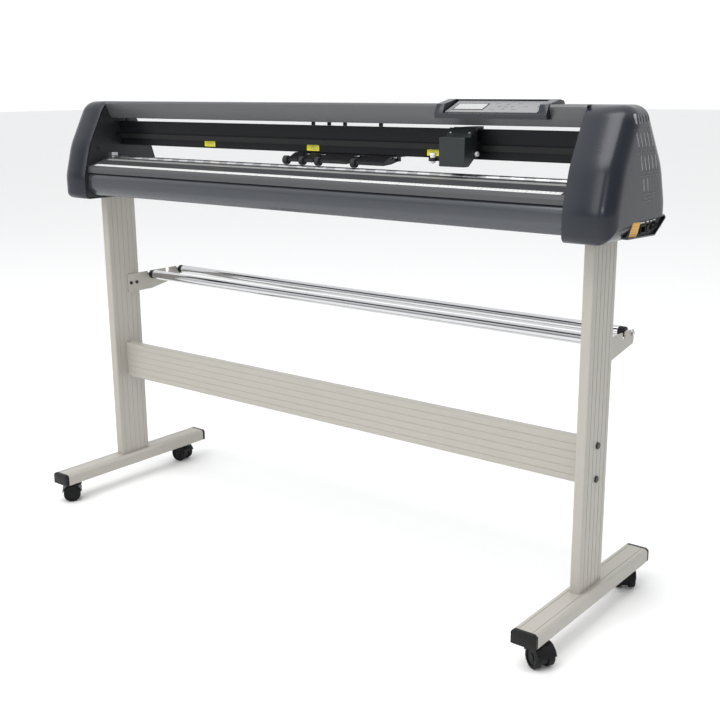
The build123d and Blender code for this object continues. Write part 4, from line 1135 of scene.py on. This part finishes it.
@dataclass
class ConsoleDress(Assembly):
    """A generic label and port marks on the connector panel."""

    face: float = 783.0

    def build(self) -> None:
        """The amber label with ruled lines, and light marks over the sockets."""
        label, lines, marks = bmesh.new(), bmesh.new(), bmesh.new()
        tag = rounded([(-43, 820), (-2, 818), (15, 843), (-27, 845.5)], 1.5, 3)
        add_section(label, Axis.X, scaled(tag), (self.face - 0.02) * MM, (self.face + 0.3) * MM)
        for k in range(4):
            z, y = 823.5 + k * 4.6, -36 + k * 3.2
            bar = [(y, z), (y + 33 - k * 3, z - 1.6), (y + 33.6 - k * 3, z - 0.5), (y + 0.6, z + 1.1)]
            add_section(lines, Axis.X, scaled(bar), (self.face + 0.28) * MM, (self.face + 0.4) * MM)
        for y0, y1, z in ((14, 32, 840.5), (41, 51, 840.5), (58, 67, 840.0), (72, 81, 841.0)):
            bar = rounded([(y0, z), (y1, z - 0.4), (y1, z + 1.6), (y0, z + 2.0)], 0.4, 2)
            add_section(marks, Axis.X, scaled(bar), (self.face - 0.02) * MM, (self.face + 0.15) * MM)
        self.keep(to_object("console_label", label), Palette.AMBER, "black_plastic")
        self.keep(to_object("console_label_lines", lines), Palette.LABEL_INK, "black_plastic")
        self.keep(to_object("console_marks", marks), Palette.WHITE, "white_plastic")


@dataclass
class RollBar(Assembly):
    """One media roll bar: a chromed tube, its end plugs and its journals."""

    node: str
    tube: float = 672.0
    plug: float = 686.0
    tube_r: float = 12.0
    plug_r: float = 11.5
    journal_r: float = 5.0

    def build(self) -> None:
        """The tube, the two plugs and the two journals, all turning together."""
        low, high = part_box(self.node)
        at = (0.0, (low[1] + high[1]) / 2, (low[2] + high[2]) / 2)
        end = high[0]
        tube, plugs, journals = bmesh.new(), bmesh.new(), bmesh.new()
        length, r = self.tube * MM, self.tube_r * MM
        ease = 0.6 * MM
        add_lathe(tube, [(r - ease, -length), (r, ease - length), (r, length - ease), (r - ease, length)], at,
                  (1, 0, 0), 64)
        for side in (-1, 1):
            step, neck = self.plug * MM, self.plug_r * MM
            cap = [(neck, length - ease), (neck, step - ease), (neck - ease, step)]
            add_lathe(plugs, cap, at, (side, 0, 0), 48)
            thin = self.journal_r * MM
            spindle = [(thin, step - ease), (thin, end - ease), (thin - ease, end)]
            add_lathe(journals, spindle, at, (side, 0, 0), 32)
        self.keep(to_object(self.node + "_tube", tube), Palette.CHROME, "chrome", [self.node], self.node)
        self.keep(to_object(self.node + "_plugs", plugs), Palette.BLACK, "black_plastic", body=self.node)
        self.keep(to_object(self.node + "_journals", journals), Palette.ZINC, "steel", body=self.node)


@dataclass
class Eased(Assembly):
    """CAD pieces shown with small rounded edges that catch the light."""

    frame: dict[str, Any]
    slots: dict[str, str]
    widths: tuple[tuple[str, float], ...] = (
        ("top_beam", 2.2), ("front_panel", 0.8), ("carriage_cover", 1.2), ("keypad_bezel", 1.6), ("tool_arm", 0.5),
        ("roll_brackets", 0.6), ("side_plates", 0.5), ("pinch_1_mount", 0.5), ("pinch_2_mount", 0.5),
        ("pinch_3_mount", 0.5), ("pinch_4_mount", 0.5), ("shaft_bearings", 0.4))

    def build(self) -> None:
        """One eased copy of each piece, on the piece's own body."""
        for name, width in self.widths:
            node = self.frame["nodes"][name]
            mesh = bmesh.new()
            mesh.from_mesh(node.data)
            bmesh.ops.remove_doubles(mesh, verts=mesh.verts, dist=0.00001)
            bmesh.ops.dissolve_limit(mesh, angle_limit=math.radians(1.0), verts=mesh.verts, edges=mesh.edges)
            piece = to_object(name + "_eased", mesh, 32)
            bevel = piece.modifiers.new("ease", "BEVEL")
            bevel.width, bevel.segments, bevel.limit_method = width * MM, 2, "ANGLE"
            bevel.angle_limit = math.radians(32)
            made = bpy.data.meshes.new_from_object(piece.evaluated_get(bpy.context.evaluated_depsgraph_get()))
            piece.modifiers.remove(bevel)
            piece.data = made
            self.keep(piece, NODE_FINISH[name], self.slots[name], [name], node["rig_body"])


@dataclass
class CarriageDress(Assembly):
    """The screws and the pale adjusting knob on the carriage cover."""

    body = "carriage"
    left: float = 377.0
    right: float = 438.0
    knob_proud: float = 7.0    # less than the room beside the right side plate at full travel

    def build(self) -> None:
        """Screws on the sloping top, one on the side, and the knob."""
        lean = Vector((0, -0.75, 0.66)).normalized()
        tops = [((x * MM, -0.0325, 1.0018), tuple(lean)) for x in (self.left + 8, self.right - 8)]
        head = ScrewHead(2.4 * MM, 0.9 * MM).build()
        self.keep(REPEAT.spread("carriage_screws", head, tops, Palette.ZINC), Palette.ZINC, "steel")
        knob = bmesh.new()
        shape = ((2.2, 0.0), (2.2, 0.19), (4.8, 0.24), (5.2, 0.36), (5.2, 0.83), (4.6, 0.95), (1.6, 1.0))
        profile = [(r, h * self.knob_proud) for r, h in shape]
        add_lathe(knob, scaled(profile), (self.right * MM, -0.022, 0.959), (1, 0, 0), 36)
        self.keep(to_object("carriage_knob", knob), Palette.WHITE, "white_plastic")


# The finish of every CAD node that keeps its own shape.
NODE_FINISH: dict[str, Finish] = {
    "feet": Palette.STAND, "posts": Palette.STAND, "crossbar": Palette.STAND, "stand_bolts": Palette.SCREW,
    "roll_brackets": Palette.STAND, "front_roll_bar": Palette.CHROME, "rear_roll_bar": Palette.CHROME,
    "side_plates": Palette.PLATE, "post_mount_blocks": Palette.PLATE, "cover_screws": Palette.SCREW,
    "top_beam": Palette.BEAM, "keypad_bezel": Palette.COVER, "keypad_plate": Palette.KEYPAD,
    "display_window": Palette.WINDOW, "y_rail": Palette.RAIL, "guide_rail": Palette.GUIDE,
    "timing_belts": Palette.RUBBER, "carriage_motor": Palette.BLACK_METAL, "platen": Palette.BED,
    "cutting_strip": Palette.PTFE, "ruler_strip": Palette.RULER, "front_panel": Palette.PANEL,
    "shaft_bearings": Palette.ALUMINIUM, "grit_shaft": Palette.SHAFT, "feed_motor": Palette.BLACK_METAL,
    "feed_motor_pulley": Palette.ALUMINIUM, "drive_pulley": Palette.ALUMINIUM, "idler_pulley": Palette.ALUMINIUM,
    "carriage_plate": Palette.PLATE, "carriage_cover": Palette.CARRIAGE, "tool_arm": Palette.BLACK_METAL,
    "blade_holder": Palette.WHITE, "main_board": Palette.BOARD, "power_supply": Palette.STEEL,
    "connector_panel": Palette.BLACK, "panel_sockets": Palette.BLACK, "power_switch": Palette.BLACK,
    "left_end_cover": Palette.COVER, "right_end_cover": Palette.COVER, "foot_end_caps": Palette.BLACK,
}
PINCH_NAMES = ("pinch_1", "pinch_2", "pinch_3", "pinch_4")
CORNERS = ("front_left", "front_right", "rear_left", "rear_right")
NODE_FINISH |= {p + "_mount": Palette.BLACK_METAL for p in PINCH_NAMES}
NODE_FINISH |= {p + "_arm": Palette.BLACK_METAL for p in PINCH_NAMES}
NODE_FINISH |= {p + "_wheel": Palette.RUBBER for p in PINCH_NAMES}
NODE_FINISH |= {c + "_caster_hood": Palette.BLACK for c in CORNERS}
NODE_FINISH |= {c + "_caster_wheels": Palette.TREAD for c in CORNERS}


class Studio:
    """The floor, the lights and the camera."""

    place = Vector((1.6384, -1.9082, 1.1004))
    yaw = 38.513
    pitch = 14.308
    roll = 0.4467
    lens = 54.365
    bright_side = (-0.52, 0.65, 0.55)
    fade = 0.35
    dim = 0.34
    bright = 1.06

    def camera(self) -> None:
        """A level-headed camera in front and to the right of the machine."""
        y, p, r = (math.radians(a) for a in (self.yaw, self.pitch, self.roll))
        ahead = Vector((-math.sin(y) * math.cos(p), math.cos(y) * math.cos(p), -math.sin(p)))
        right = Vector((math.cos(y), math.sin(y), 0))
        down = ahead.cross(right)
        across = right * math.cos(r) + down * math.sin(r)
        lower = down * math.cos(r) - right * math.sin(r)
        matrix = Matrix((across, -lower, -ahead)).transposed().to_4x4()
        matrix.translation = self.place
        data = bpy.data.cameras.new("camera")
        data.lens, data.sensor_width = self.lens, 36.0
        data.clip_start, data.clip_end = 0.05, 100
        camera = bpy.data.objects.new("camera", data)
        camera.matrix_world = matrix
        bpy.context.scene.collection.objects.link(camera)
        bpy.context.scene.camera = camera

    def floor(self) -> None:
        """A wide pale floor just under the casters."""
        mesh = bmesh.new()
        half = 40.0
        mesh.faces.new([mesh.verts.new((x, y, 0.0)) for x, y in ((-half, -half), (half, -half), (half, half),
                                                                 (-half, half))])
        data = bpy.data.meshes.new("floor")
        mesh.to_mesh(data)
        mesh.free()
        floor = bpy.data.objects.new("floor", data)
        bpy.context.scene.collection.objects.link(floor)
        data.materials.append(Palette.FLOOR.material())

    def light(self, name: str, at: Point3, towards: Point3, size: float, power: float) -> None:
        """One soft square light.

        Args:
            name: the name of the light.
            at: where it stands.
            towards: what it points at.
            size: the length of its side, in metres.
            power: its power in watts.
        """
        data = bpy.data.lights.new(name, "AREA")
        data.shape, data.size, data.energy = "SQUARE", size, power
        lamp = bpy.data.objects.new(name, data)
        lamp.location = at
        lamp.rotation_euler = (Vector(towards) - Vector(at)).to_track_quat("-Z", "Y").to_euler()
        bpy.context.scene.collection.objects.link(lamp)

    def lights(self) -> None:
        """A broad top light, two soft front lights and a surround that is brighter behind the machine."""
        self.light("top_light", (0.2, -1.8, 4.2), (0, 0, 0.6), 3.2, 120)
        self.light("front_light", (-0.6, -5.2, 2.6), (0, 0, 0.7), 2.6, 46)
        self.light("corner_light", (2.9, -4.9, 2.3), (0.75, 0, 0.9), 0.9, 24)
        world = bpy.data.worlds.new("surround")
        world.use_nodes = True
        tree = world.node_tree
        back = tree.nodes["Background"]
        back.inputs["Color"].default_value = (0.98, 0.99, 1.0, 1)
        where = tree.nodes.new("ShaderNodeTexCoord")
        facing = tree.nodes.new("ShaderNodeVectorMath")
        facing.operation = "DOT_PRODUCT"
        facing.inputs[1].default_value = self.bright_side
        level = tree.nodes.new("ShaderNodeMapRange")
        level.interpolation_type = "SMOOTHSTEP"
        reach = {"From Min": -self.fade, "From Max": self.fade, "To Min": self.dim, "To Max": self.bright}
        for name, value in reach.items():
            level.inputs[name].default_value = value
        tree.links.new(where.outputs["Generated"], facing.inputs[0])
        tree.links.new(facing.outputs["Value"], level.inputs["Value"])
        tree.links.new(level.outputs["Result"], back.inputs["Strength"])
        bpy.context.scene.world = world
        bpy.context.scene.view_settings.view_transform = "Standard"


def dress_nodes(frame: dict[str, Any]) -> None:
    """Give every CAD node its finish."""
    for name, node in frame["nodes"].items():
        finish = NODE_FINISH[name].material()
        if node.data.materials:
            for k in range(len(node.data.materials)):
                node.data.materials[k] = finish
        else:
            node.data.materials.append(finish)


REPEAT: Repeater


def main() -> None:
    """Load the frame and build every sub-assembly."""
    global REPEAT
    logging.basicConfig(level=logging.INFO, format="%(message)s")
    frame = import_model()
    REPEAT = Repeater("repeat_on_points")
    studio = Studio()
    studio.camera()
    studio.floor()
    studio.lights()
    dress_nodes(frame)
    slots = {row["node"]: row["material_slot"] for row in frame["record"]["subparts"]}
    for part in (Stand(), EndCover(side=-1), EndCover(side=1), RollBar(node="front_roll_bar"),
                 RollBar(node="rear_roll_bar"), Eased(frame=frame, slots=slots), CarriageDress(), Keypad(),
                 RailLabels(), ConsoleDress()):
        LOG.info("building %s", type(part).__name__)
        part.build()


if __name__ == "__main__":
    main()
